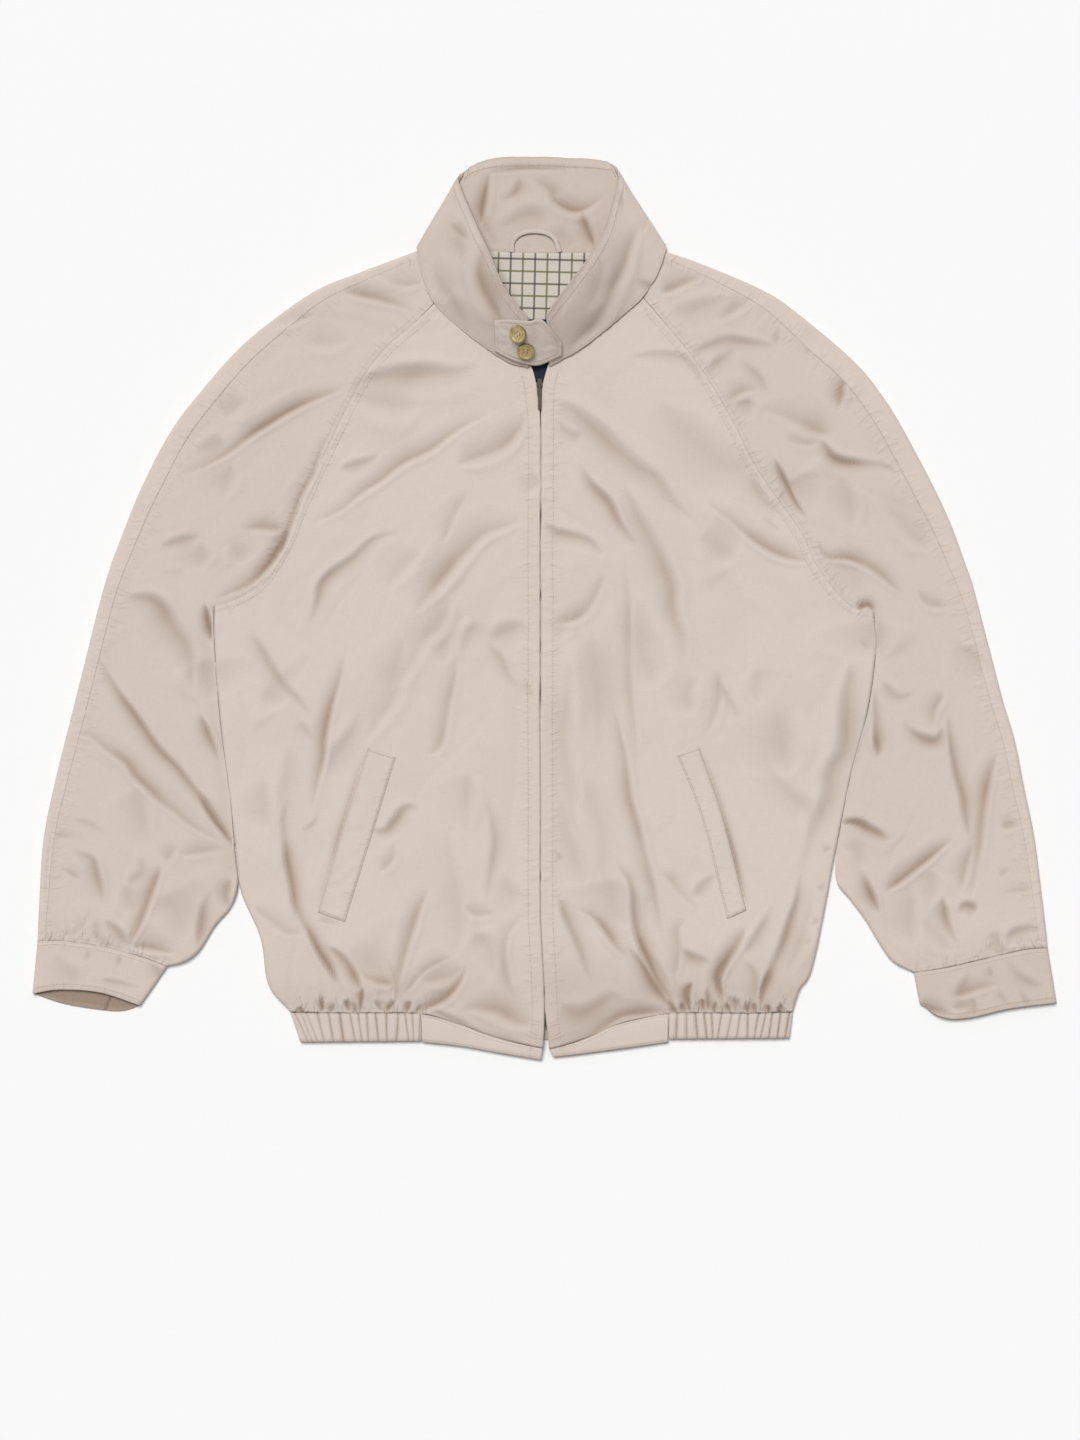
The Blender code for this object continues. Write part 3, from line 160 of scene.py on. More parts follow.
# The drawn folds by kind: half width in steps, ridge and depth in millimetres, and the painted shade in its
# trough.
foldKinds = {"pocket": (2.2, 0.2, 1.4, 0.7), "slot": (3.6, 1.1, 3.9, 1.3), "deep": (4.6, 1.7, 3.7, 0.95),
             "strong": (5.0, 1.3, 2.9, 0.66), "wide": (8.8, 2.0, 3.6, 0.58), "medium": (4.8, 0.8, 1.8, 0.40),
             "soft": (9, 1.2, 2.3, 0.22), "broad": (18, 2.2, 3.6, 0.26), "fine": (3.0, 0.4, 1.0, 0.36),
             "slit": (2.8, 1.0, 2.8, 1.1)}
folds = {
    "pocket": (
        ((366.5, 748), (343.5, 821), (316.5, 912)), ((700.5, 747), (723.5, 815), (747.5, 910)),
    ),
    "slot": (
        ((774, 459), (786, 483), (798, 505), (808, 518)), ((205, 604), (208, 622), (211, 642)),
        ((306, 922), (317, 946), (329, 968), (338, 985)), ((857, 610), (868, 605), (876, 612)),
        ((250, 582), (268, 564), (281, 545), (288, 528)), ((197, 792), (209, 811), (223, 831), (237, 850)),
        ((692, 982), (688, 994), (691, 1012)), ((841, 823), (856, 824), (870, 831)),
        ((775, 966), (764, 988), (761, 1008)), ((736, 946), (727, 961), (719, 978), (723, 1000)),
    ),
    "deep": (
        ((181, 477), (222, 455), (262, 427), (300, 404), (345, 387)),
        ((820, 440), (834, 457), (856, 463), (880, 466), (898, 474)),
        ((333, 431), (322, 448), (312, 474), (299, 495), (291, 520), (281, 545), (262, 572), (245, 586),
         (215, 600)), ((345, 655), (335, 690), (327, 722), (322, 752), (315, 785), (311, 808)),
        ((285, 800), (286, 850), (290, 880), (297, 907), (307, 927), (318, 948), (328, 968), (338, 986),
         (347, 998)), ((326, 946), (342, 958), (354, 974), (362, 990)),
        ((418, 1012), (434, 1004), (448, 995), (460, 980), (466, 966)),
        ((617, 864), (629, 880), (634, 905), (638, 935), (648, 960), (660, 985), (674, 1008)),
        ((626, 946), (640, 962), (655, 985), (672, 1006)),
        ((746, 928), (737, 944), (727, 960), (719, 978), (721, 996), (727, 1010)),
        ((801, 872), (797, 898), (789, 925), (782, 948), (772, 970), (763, 990), (762, 1010)),
        ((817, 543), (828, 556), (850, 557), (870, 565), (885, 578), (903, 594)),
        ((884, 892), (905, 875), (928, 857), (955, 838)), ((840, 822), (856, 823), (872, 830), (890, 841)),
        ((860, 869), (870, 892), (880, 914)), ((942, 899), (948, 925), (957, 943)),
        ((948, 712), (952, 745), (957, 775), (964, 805), (970, 836)),
        ((98, 656), (111, 684), (140, 722), (155, 745), (175, 768), (198, 793), (217, 820), (235, 847)),
        ((200, 715), (209, 738), (220, 762)), ((876, 690), (876, 720), (880, 758)),
        ((160, 866), (150, 893), (138, 925), (125, 953)),
    ),
    "strong": (
        ((312, 524), (345, 505), (372, 484), (400, 463), (432, 446), (462, 427), (487, 414)),
        ((400, 532), (375, 540), (355, 558), (332, 575), (321, 588), (318, 603), (309, 624)),
        ((251, 631), (264, 655), (280, 682), (298, 700), (312, 717)),
        ((458, 655), (450, 693), (444, 727), (437, 750), (424, 754)),
        ((372, 828), (385, 831), (395, 821), (405, 809), (420, 808)),
        ((428, 888), (417, 912), (407, 945), (400, 972), (398, 1000)), ((362, 975), (378, 981), (394, 984)),
        ((432, 1010), (452, 1020), (476, 1032), (510, 1042), (537, 1048)),
        ((580, 462), (590, 482), (608, 503), (620, 525), (640, 549)),
        ((606, 574), (600, 587), (590, 606), (576, 617), (556, 624)),
        ((545, 525), (558, 533), (578, 538), (592, 545), (602, 556)),
        ((612, 700), (620, 740), (627, 775), (630, 800), (638, 828), (645, 860), (654, 896), (664, 940)),
        ((578, 909), (595, 918), (607, 932), (618, 948), (630, 960)),
        ((560, 899), (569, 924), (577, 942), (585, 962), (593, 982)),
        ((562, 1046), (586, 1038), (606, 1026), (628, 1014), (668, 1012)),
        ((684, 918), (677, 930), (678, 950), (674, 978)), ((682, 948), (694, 958), (711, 963)),
        ((706, 500), (735, 524), (760, 543), (783, 555), (810, 562)), ((728, 402), (740, 391), (760, 387)),
        ((693, 356), (708, 346), (728, 340), (750, 343), (775, 347)), ((851, 363), (842, 385), (838, 410)),
        ((660, 293), (680, 284), (702, 276)), ((902, 722), (918, 736), (936, 741), (944, 728)),
        ((971, 845), (965, 870), (960, 892)),
        ((997, 752), (989, 775), (983, 808), (980, 845), (974, 880), (967, 905)),
        ((958, 914), (966, 906), (978, 909)),
        ((75, 733), (92, 737), (108, 750), (127, 764), (138, 778), (163, 800), (190, 824), (225, 845)),
        ((232, 878), (227, 895), (231, 910)), ((212, 889), (203, 908), (200, 932), (198, 948)),
        ((130, 946), (150, 948), (175, 954)), ((74, 850), (92, 860), (97, 880), (102, 905)),
        ((103, 922), (116, 931), (130, 946)), ((343, 292), (370, 297), (395, 303), (415, 312)),
        ((240, 527), (262, 527), (286, 529)),
    ),
    "wide": (
        ((350, 384), (400, 374), (450, 374), (478, 366)),
        ((458, 462), (483, 452), (503, 444), (515, 432), (525, 415)),
        ((520, 522), (480, 535), (462, 552), (445, 572), (428, 596), (418, 612)),
        ((552, 400), (575, 415), (595, 431), (615, 448), (636, 465), (655, 480), (672, 502), (690, 520)),
        ((626, 486), (635, 510), (646, 532), (656, 553), (666, 580), (672, 605), (679, 630), (686, 660)),
        ((765, 408), (785, 415), (808, 425), (832, 436)),
        ((856, 665), (848, 700), (843, 745), (830, 785), (818, 820), (808, 850), (799, 875)),
        ((423, 985), (442, 975), (462, 967)),
        ((462, 1012), (480, 1006), (498, 1008), (517, 1019), (535, 1024)),
        ((560, 1006), (580, 1014), (598, 1006), (612, 998), (628, 1006)),
        ((640, 948), (652, 972), (668, 998)), ((128, 597), (155, 606), (172, 628), (187, 655), (192, 690)),
    ),
    "medium": (
        ((340, 472), (358, 464), (380, 456)), ((468, 492), (452, 517), (442, 543)),
        ((298, 722), (308, 732), (316, 742)), ((486, 800), (494, 828), (496, 850), (490, 878), (486, 900)),
        ((394, 843), (392, 858), (380, 872)), ((465, 905), (475, 913), (495, 912)),
        ((386, 958), (395, 978), (399, 1003)), ((522, 918), (508, 934), (503, 960), (508, 985), (517, 1004)),
        ((487, 643), (499, 657), (508, 677), (521, 694)), ((558, 420), (570, 433), (584, 435)),
        ((624, 560), (629, 600), (628, 640), (630, 690), (634, 725), (638, 770)),
        ((662, 873), (675, 884), (685, 898), (698, 909)), ((716, 875), (704, 884), (694, 898)),
        ((743, 962), (753, 972), (754, 990), (749, 1010)), ((726, 998), (735, 1003), (737, 1012)),
        ((776, 903), (763, 924), (752, 942), (744, 954)), ((720, 672), (719, 700), (712, 722), (704, 738)),
        ((721, 680), (730, 700), (742, 718)), ((630, 356), (660, 356), (685, 360), (698, 375), (704, 392)),
        ((752, 478), (763, 498), (780, 515)), ((785, 440), (805, 444), (822, 441)),
        ((706, 373), (720, 362), (738, 348)), ((743, 362), (760, 378), (769, 396)),
        ((802, 325), (810, 340), (808, 356)), ((670, 250), (681, 268)), ((718, 322), (735, 310), (748, 302)),
        ((918, 590), (930, 603), (948, 607)), ((882, 683), (898, 698), (914, 694)),
        ((933, 728), (934, 710), (944, 692)), ((997, 930), (998, 945), (1005, 955)),
        ((1006, 942), (1018, 931), (1044, 927)), ((178, 845), (165, 862)),
        ((180, 855), (200, 852), (228, 850)), ((96, 918), (95, 932), (104, 944), (125, 951)),
        ((382, 280), (402, 284), (422, 283)), ((265, 328), (290, 321), (318, 314)),
        ((160, 545), (185, 540), (200, 536)), ((253, 905), (268, 918), (285, 931), (302, 936)),
        ((1002, 827), (1020, 825)), ((137, 858), (142, 872), (128, 884)),
    ),
    "soft": (
        ((418, 550), (398, 572), (385, 590)), ((418, 655), (395, 690), (378, 722), (360, 745)),
        ((362, 712), (345, 745), (331, 778)), ((468, 775), (467, 800), (467, 832)),
        ((446, 838), (453, 872), (459, 910), (460, 935), (452, 958)), ((291, 745), (288, 790), (286, 840)),
        ((474, 935), (490, 950), (494, 975)), ((503, 875), (510, 892), (524, 898)),
        ((530, 626), (510, 633), (490, 641)), ((452, 600), (438, 622), (420, 650), (402, 680)),
        ((466, 608), (448, 640), (440, 665)), ((478, 622), (466, 655)),
        ((571, 655), (566, 700), (564, 740), (568, 775), (573, 810), (581, 840)),
        ((560, 793), (573, 847), (587, 887)), ((586, 780), (596, 815), (606, 850), (605, 885)),
        ((565, 615), (560, 640)), ((698, 678), (688, 695), (692, 715)), ((755, 670), (762, 705)),
        ((765, 750), (775, 780), (792, 797), (810, 810), (820, 825)), ((812, 890), (803, 930), (790, 975)),
        ((672, 318), (700, 307), (728, 296)), ((880, 500), (905, 525), (930, 550)),
        ((838, 480), (850, 505), (853, 530)), ((843, 845), (856, 850), (862, 870)),
        ((912, 880), (908, 915), (914, 945)), ((935, 872), (930, 905)), ((922, 921), (938, 935), (952, 953)),
        ((958, 645), (975, 660), (990, 680)), ((135, 790), (141, 822), (152, 850)), ((124, 886), (132, 915)),
        ((305, 342), (350, 338)), ((225, 418), (245, 398)), ((195, 452), (225, 442)),
        ((232, 465), (224, 500)), ((200, 545), (202, 570)), ((233, 543), (243, 563)),
        ((745, 400), (748, 420)), ((262, 782), (268, 830)), ((830, 560), (850, 576), (868, 598)),
        ((540, 480), (520, 492)), ((405, 640), (388, 690)),
    ),
    "broad": (
        ((655, 410), (690, 440), (730, 470), (765, 500)), ((612, 880), (614, 905), (624, 930)),
        ((785, 705), (780, 740), (786, 775)), ((165, 895), (178, 915), (185, 940)),
        ((350, 952), (372, 968), (392, 975)), ((640, 600), (650, 690)), ((590, 640), (600, 760)),
        ((700, 540), (735, 560)), ((265, 690), (285, 705)), ((790, 480), (820, 505)),
        ((350, 400), (420, 402)), ((870, 620), (872, 660)), ((205, 660), (212, 700)),
    ),
    "fine": (
        ((524, 675), (533, 698)), ((404, 996), (416, 978), (432, 964)), ((342, 827), (355, 829), (368, 828)),
        ((318, 907), (330, 912), (342, 910)), ((318, 919), (330, 922), (340, 927)), ((323, 887), (343, 883)),
        ((556, 852), (563, 860)), ((832, 848), (822, 853)), ((826, 885), (818, 890)),
        ((820, 920), (810, 925)), ((812, 940), (800, 945)), ((763, 517), (780, 530)),
        ((776, 345), (779, 328)), ((858, 640), (870, 650)), ((1005, 951), (1025, 951), (1047, 948)),
        ((1000, 877), (1010, 870)), ((1000, 892), (1033, 890)), ((72, 819), (90, 823), (105, 833)),
        ((48, 836), (83, 837)), ((60, 868), (80, 878)), ((54, 822), (48, 870), (46, 930)),
        ((60, 938), (80, 930), (92, 908)), ((407, 990), (420, 974), (436, 963), (452, 957)),
        ((300, 832), (312, 825), (318, 812)),
    ),
    "slit": (
        ((322, 994), (323, 1013)), ((334, 1003), (330, 1013)), ((345, 1000), (350, 1013)),
        ((354, 1000), (357, 1013)), ((362, 986), (361, 1013)), ((375, 1000), (382, 1012)),
        ((396, 1001), (386, 1012)), ((411, 1001), (406, 1014)), ((420, 1003), (416, 1014)),
        ((668, 1000), (677, 1014)), ((702, 998), (704, 1013)), ((708, 986), (707, 1010)),
        ((716, 1001), (714, 1013)), ((728, 1003), (731, 1013)), ((745, 1000), (748, 1013)),
        ((754, 1002), (756, 1013)), ((768, 1004), (770, 1014)), ((781, 1003), (778, 1014)),
        ((683, 1002), (684, 1014)), ((300, 1006), (302, 1014)),
    ),
}


def patternOfNoise(x, y, seed):
    # smooth noise between -1 and 1 with a cell of 1 by 1
    table = np.random.default_rng(seed).uniform(-1, 1, (256, 256))
    x0, y0 = np.floor(x).astype(int), np.floor(y).astype(int)
    fx, fy = x - x0, y - y0
    fx, fy = (f * f * f * (f * (f * 6 - 15) + 10) for f in (fx, fy))
    a, b = table[x0 % 256, y0 % 256], table[(x0 + 1) % 256, y0 % 256]
    c, d = table[x0 % 256, (y0 + 1) % 256], table[(x0 + 1) % 256, (y0 + 1) % 256]
    return (a * (1 - fx) + b * fx) * (1 - fy) + (c * (1 - fx) + d * fx) * fy


def nearLine(at, line, reach):
    # for each point within reach: distance to the line, side of it and length along it; and the whole length
    line = line.astype(float)
    along = lengthsAlong(line)
    flat = at.reshape(-1, 2)
    distance = np.full(len(flat), 1e3)
    side = np.ones(len(flat))
    place = np.zeros(len(flat))
    picked = np.flatnonzero(((flat > line.min(0) - reach) & (flat < line.max(0) + reach)).all(1))
    spot = flat[picked]
    best, sign, run = np.full(len(spot), 1e3), np.ones(len(spot)), np.zeros(len(spot))
    for start, end, reached in zip(line, line[1:], along):
        way = end - start
        length = np.linalg.norm(way)
        offset = spot - start
        share = np.clip((offset @ way) / length**2, 0, 1)
        apart = np.linalg.norm(offset - share[:, None] * way, axis=1)
        nearer = apart < best
        turn = way[0] * offset[:, 1] - way[1] * offset[:, 0]
        sign = np.where(nearer, np.sign(turn), sign)
        run = np.where(nearer, reached + share * length, run)
        best = np.where(nearer, apart, best)
    distance[picked], side[picked], place[picked] = best, sign, run
    shape = at.shape[:-1]
    return distance.reshape(shape), side.reshape(shape), place.reshape(shape), along[-1]


def foldAt(at, kind, points, seed):
    # a trough with one steep wall and one easy one; its rise and the painted shade in it
    width, ridge, dip, grime = foldKinds[kind]
    line = edgeLine(points, 4 * len(points))
    reach = 3.4 * width * step
    distance, side, place, total = nearLine(at, line, reach)
    rise, held = np.zeros(distance.shape), np.zeros(distance.shape)
    close = distance < reach
    if not close.any():
        return rise, held
    chord = line[-1] - line[0]
    soft = (1 if chord[0] * 0.62 + chord[1] * 0.60 > 0 else -1) * (1 if seed % 3 else -1)
    place, apart = place[close], (distance * side)[close] / (width * step) * soft
    share = place / total
    peak = 0.5 + 0.22 * math.sin(seed * 2.3)
    taper = np.clip(np.where(share < peak, share / peak, (1 - share) / (1 - peak)), 0, 1)
    taper = np.sin(taper * np.pi / 2) ** 0.8
    uneven = 0.90 + 0.45 * patternOfNoise(place / 0.030, place * 0 + 0.5, seed)
    apart = apart + 0.35 * patternOfNoise(place / 0.026, place * 0 + 7.5, seed)
    apart = apart / (0.35 + 0.65 * taper)
    apart = np.where(apart > 0, apart / 1.75, apart / 0.75)
    trough = np.exp(-np.abs(apart) ** np.where(apart > 0, 1.35, 1.8))
    lips = np.where(apart > 0, 0.35, 1.0) * np.exp(-((np.abs(apart) - 1.9) / 0.9) ** 2)
    rise[close] = (ridge * lips - dip * trough) * taper * uneven * mm
    held[close] = grime * trough**1.6 * taper * uneven
    return rise, held


def drawnFolds(at):
    # the folds' rise, and the painted shade in their troughs
    rise, held, seed = np.zeros(at.shape[:-1]), np.zeros(at.shape[:-1]), 100
    for kind, drawn in folds.items():
        for points in drawn:
            seed += 1
            more, dark = foldAt(at, kind, points, seed)
            rise = rise + more
            held = np.maximum(held, dark) + 0.3 * np.minimum(held, dark)
    return rise, np.clip(held, 0, 1)


# The way the folds run: every drawn line pulls the cloth's grain of folds to its own direction.
grainOfFolds = {"cell": 0.012, "reach": 0.040, "turns": 6}


def foldWays():
    cell = grainOfFolds["cell"]
    xs, ys = np.arange(-0.54, 0.541, cell), np.arange(-0.48, 0.481, cell)
    grid = np.stack(np.meshgrid(xs, ys, indexing="ij"), -1)
    outward = np.clip((np.abs(grid[..., 0]) - 0.27) / 0.05, 0, 1)
    lean = math.pi / 2 + np.sign(grid[..., 0]) * outward * 0.45
    total = np.stack([np.cos(2 * lean), np.sin(2 * lean)], -1) * 0.12
    drawn = [points for group in folds.values() for points in group]
    for points in drawn:
        line = edgeLine(points, 6)
        for start, end in zip(line, line[1:]):
            way = end - start
            turn = 2 * math.atan2(way[1], way[0])
            apart = np.linalg.norm(grid - (start + end) / 2, axis=-1)
            weight = np.exp(-((apart / grainOfFolds["reach"]) ** 2)) * np.linalg.norm(way) / 0.03
            total += weight[..., None] * np.array((math.cos(turn), math.sin(turn)))
    return xs, ys, total


wayXs, wayYs, wayTable = foldWays()


def wayAt(at):
    x = np.clip((at[..., 0] - wayXs[0]) / grainOfFolds["cell"], 0, len(wayXs) - 1.01)
    y = np.clip((at[..., 1] - wayYs[0]) / grainOfFolds["cell"], 0, len(wayYs) - 1.01)
    x0, y0 = x.astype(int), y.astype(int)
    fx, fy = (x - x0)[..., None], (y - y0)[..., None]
    low = wayTable[x0, y0] * (1 - fx) + wayTable[x0 + 1, y0] * fx
    high = wayTable[x0, y0 + 1] * (1 - fx) + wayTable[x0 + 1, y0 + 1] * fx
    way = low * (1 - fy) + high * fy
    return np.arctan2(way[..., 1], way[..., 0]) / 2


# Crumples along those ways: width and length of a fold, undulation, trough, sharpness, a seed.
crumples = ((44, 170, 1.2, 0.7, 0.18, 501), (22, 85, 0.5, 0.45, 0.18, 502), (11, 38, 0.14, 0.2, 0.22, 503))


def crumpleHeight(at):
    rise = np.zeros(at.shape[:-1])
    theta = wayAt(at)
    turns = grainOfFolds["turns"]
    weights = [np.clip(np.cos(theta - math.pi * k / turns) ** 2 * 2 - 1, 0, 1) ** 2 for k in range(turns)]
    whole = sum(weights) + 1e-6
    for width, length, broad, deep, sharp, seed in crumples:
        for k in range(turns):
            turn = math.pi * k / turns
            along = (at[..., 0] * math.cos(turn) + at[..., 1] * math.sin(turn)) / (length * mm)
            across = (at[..., 1] * math.cos(turn) - at[..., 0] * math.sin(turn)) / (width * mm)
            across = across + 0.7 * patternOfNoise(along * 1.6 + 30, across * 0.4 + 30, seed + 10 * k)
            wave = patternOfNoise(along + 50, across + 50, seed + 10 * k + 1)
            strong = patternOfNoise(along * 0.8 + 70, across * 0.5 + 70, seed + 10 * k + 2)
            strong = np.clip(0.5 + 1.6 * strong, 0, 1.3)
            fold = broad * wave - deep * strong * np.exp(-np.abs(wave / sharp) ** 1.5)
            rise += weights[k] / whole * fold * mm
    return rise


# Puckers beside a seam: pitch and reach in millimetres, height, and a seed.
puckers = (
    ("raglanLeft", 8.5, 11, 0.42, 11), ("raglanRight", 8.5, 11, 0.42, 12),
    ("shoulderLeft", 9.0, 14, 0.55, 13), ("shoulderRight", 9.0, 14, 0.55, 14), ("zip", 11.0, 15, 0.58, 15),
    ("hemLeft", 12.0, 30, 1.5, 16), ("hemRight", 12.0, 30, 1.5, 17), ("cuffSeamLeft", 10.0, 20, 0.9, 18),
    ("cuffSeamRight", 10.0, 20, 0.9, 19), ("neckLeft", 10.0, 12, 0.35, 20),
    ("neckRight", 10.0, 12, 0.35, 21),
)
# How far the back of the sleeve comes over the top edge onto the front, from the neck to the cuff.
wrap = {"at": (0.0, 0.18, 0.36, 0.5, 0.75, 1.0), "left": (6, 17, 19, 14, 13, 8),
        "right": (6, 22, 22, 13, 12, 8)}
rowsLow, rowsHigh = 176, 150
seamLines = {}


def joinedLine(low, high):
    return np.vstack([low, high[1:]])


def sleeveLines(side, raglan="raglan"):
    top, out, inner = (lines[name + side] for name in ("sleeveTop", "sleeveOut", "sleeveIn"))
    middle = onSheet(top[-1]) * 0.5 + onSheet(inner[0]) * 0.5
    outside = joinedLine(edgeLine(top, rowsHigh), edgeLine(out, rowsLow))
    upper = movedIn(edgeLine(lines[raglan + side], rowsHigh)[::-1], middle, cloth["seamGap"] * mm / 2)
    lower = movedIn(edgeLine(inner, rowsLow), middle, cloth["edgeGap"] * mm)
    return outside, joinedLine(upper, lower)


for side in ("Left", "Right"):
    outside, inside = sleeveLines(side)
    share = np.linspace(0, 1, len(outside))
    over = (np.interp(share, wrap["at"], wrap[side.lower()]) * step)[:, None]
    seamLines["shoulder" + side] = (outside + towards(outside, inside) * over)[::6]
for name in ("raglanLeft", "raglanRight", "zip", "hemLeft", "hemRight", "cuffSeamLeft", "cuffSeamRight",
             "neckLeft", "neckRight"):
    seamLines[name] = edgeLine(lines[name], 24)


def puckerHeight(at, name, pitch, reach, amount, seed):
    distance, side, place, total = nearLine(at, seamLines[name], 3 * reach * mm)
    rise = np.zeros(distance.shape)
    close = distance < 3 * reach * mm
    if not close.any():
        return rise
    distance, place, side = distance[close] / mm, place[close] / mm, side[close]
    drift = 1.1 * patternOfNoise(place / (3.1 * pitch), side * 3 + 0.5, seed)
    wave = np.sin(2 * np.pi * (place / pitch + drift) + distance * 0.05 * side)
    strength = 0.65 + 0.55 * patternOfNoise(place / (1.3 * pitch), side * 5 + 0.5, seed + 40)
    longer = reach * (0.75 + 0.45 * patternOfNoise(place / (0.9 * pitch), side * 9 + 0.5, seed + 80))
    fade = np.exp(-((distance / longer) ** 2)) * np.clip(distance / 2.0 + 0.25, 0, 1)
    rise[close] = (wave * 0.5 + 0.3 * wave**2) * strength * fade * amount * mm
    return rise


# Broad unevenness: cell across and along the drape, its turn, its height, a seed.
rumples = ((58, 95, 12, 0.6, 31), (30, 62, -20, 0.3, 32))
blousing = {"rise": 2.0, "from": 24, "reach": 20}


def zipAcross(y):
    places = onSheet(lines["zip"])
    return np.interp(-y, -places[:, 1], places[:, 0])


def topHeight(at):
    neck = np.linalg.norm(at - onSheet(cloth["neckMiddle"]), axis=-1) / (cloth["neckReach"] * step)
    placket = (at[..., 0] - zipAcross(at[..., 1])) / (cloth["placketWidth"] * step)
    top = cloth["loft"] * mm + cloth["placketRise"] * mm * np.exp(-(placket**2))
    top = top + cloth["neckRise"] * mm * np.exp(-(neck**4))
    top = top + drawnFolds(at)[0]
    gathered = np.clip((np.abs(at[..., 0]) / step - cloth["plainHem"]) / 16, 0, 1)
    for row in puckers:
        top = top + puckerHeight(at, *row) * (gathered if row[0].startswith("hem") else 1)
    calm = 0.30 + 0.70 * np.clip(np.abs(placket) * 0.8, 0, 1)
    top = top + crumpleHeight(at) * calm
    for across, along, turn, amount, seed in rumples:
        turn = math.radians(turn) * np.sign(at[..., 0])
        x = (at[..., 0] * np.cos(turn) - at[..., 1] * np.sin(turn)) / (across * mm)
        y = (at[..., 0] * np.sin(turn) + at[..., 1] * np.cos(turn)) / (along * mm)
        top = top + patternOfNoise(x + 40, y + 40, seed) * amount * mm * calm
    for name in ("hemLeft", "hemRight", "cuffSeamLeft", "cuffSeamRight"):
        distance = nearLine(at, seamLines[name], 0.08)[0] / step
        puff = np.exp(-(((distance - blousing["from"]) / blousing["reach"]) ** 2))
        top = top + blousing["rise"] * mm * puff * np.clip(distance / 10, 0, 1)
    softest, lowest = cloth["softest"] * mm, cloth["lowest"] * mm
    return lowest + softest * np.logaddexp(0, (top - lowest) / softest)


def endBender(start, end, bows):
    width = end - start

    def bend(at):
        share = ((at - start[:, None]) * width[:, None]).sum(2) / (width**2).sum(1)[:, None]
        share = np.clip(share, 0, 1)
        for points, weight in bows:
            curve = smoothLine(onSheet(points))
            straight = curve[-1] - curve[0]
            along = ((curve - curve[0]) @ straight) / (straight @ straight)
            onCurve = np.stack([np.interp(share, along, column) for column in curve.T], -1)
            at = at + (onCurve - curve[0] - straight * share[..., None]) * weight[:, None, None]
        return at

    return bend


def lastRows(count, share):
    return np.clip((np.linspace(0, 1, count) - 1 + share) / share, 0, 1) ** 2


def levelPart(start, end, shares, top, bend):
    # cloth lying level from one line to another, on the upper layer or on the floor
    shares = np.asarray(shares, float)
    at = bend(start[:, None] + (end - start)[:, None] * shares[None, :, None])
    z = top(at) if callable(top) else np.full(at.shape[:-1], float(top))
    return np.dstack([at, z])


def foldedPart(line, way, angles, rolled, top, bend):
    # a folded edge, from -90 degrees on the floor to 90 on top; where rolled is 0 the cloth stays level
    turn = np.radians(np.asarray(angles, float))[None, :]
    rolled = np.asarray(rolled, float)[:, None]
    upper = np.sign(turn.sum())
    fold = cloth["fold"] * mm
    reach = rolled * fold * (1 - np.cos(turn)) + (1 - rolled) * fold * np.abs(turn)
    rise = rolled * np.sin(turn) + (1 - rolled) * upper
    at = bend(line[:, None] + way[:, None] * reach[..., None])
    middle = cloth["loft"] * mm / 2
    z = np.where(rise > 0, middle + rise * (top(at) - middle), middle * (1 + rise))
    return np.dstack([at, z])


def foldedIn(line, way, rolled):
    rolled = np.asarray(rolled, float)[:, None]
    return line + way * cloth["fold"] * mm * (rolled + (1 - rolled) * math.pi / 2)


def rolledRows(pitLast):
    rolled = np.r_[np.ones(rowsLow), np.zeros(rowsHigh + 1)]
    return rolled if pitLast else rolled[::-1]


# Materials. Shared effects are node groups that give heights and shades.
def addNode(tree, kind, inputs=None, **settings):
    node = tree.nodes.new("ShaderNode" + kind)
    for name, value in settings.items():
        setattr(node, name, value)
    for key, value in (inputs or {}).items():
        if isinstance(value, bpy.types.NodeSocket):
            tree.links.new(value, node.inputs[key])
        else:
            node.inputs[key].default_value = value
    return node


def maths(tree, operation, *values):
    return addNode(tree, "Math", dict(enumerate(values)), operation=operation).outputs[0]


def mixed(tree, share, first, second):
    return addNode(tree, "Mix", {0: share, 6: first, 7: second}, data_type="RGBA").outputs[2]


def stretched(tree, vector, by):
    return addNode(tree, "VectorMath", {0: vector, 1: by}, operation="MULTIPLY").outputs[0]


def scaledNoise(tree, vector, scale, detail):
    inputs = {"Vector": vector, "Scale": scale, "Detail": detail, "Roughness": 0.55}
    return addNode(tree, "TexNoise", inputs).outputs["Fac"]


def attribute(tree, name):
    return addNode(tree, "Attribute", attribute_name=name).outputs["Fac"]


def objectPlace(tree):
    return addNode(tree, "TexCoord").outputs["Object"]


def useGroup(tree, group, inputs):
    return addNode(tree, "Group", inputs, node_tree=group).outputs


def newMaterial(name, inputs):
    made = bpy.data.materials.new(name)
    made.use_nodes = True
    shader = made.node_tree.nodes["Principled BSDF"]
    for key, value in inputs.items():
        shader.inputs[key].default_value = value
    return made, made.node_tree, shader


def dress(tree, shader, colour, height, distance=1.0):
    # a material's colour, and the bump from a height
    tree.links.new(colour, shader.inputs["Base Color"])
    bump = addNode(tree, "Bump", {"Height": height, "Distance": distance})
    tree.links.new(bump.outputs[0], shader.inputs["Normal"])


def newGroup(name, inputs, outputs):
    # an input without a value is a vector, every other one is a number
    group = bpy.data.node_groups.new(name, "ShaderNodeTree")
    for label, value in inputs.items():
        kind = "NodeSocketVector" if value is None else "NodeSocketFloat"
        socket = group.interface.new_socket(label, in_out="INPUT", socket_type=kind)
        if value is not None:
            socket.default_value = value
    for label in outputs:
        group.interface.new_socket(label, in_out="OUTPUT", socket_type="NodeSocketFloat")
    return group, group.nodes.new("NodeGroupInput").outputs, group.nodes.new("NodeGroupOutput").inputs


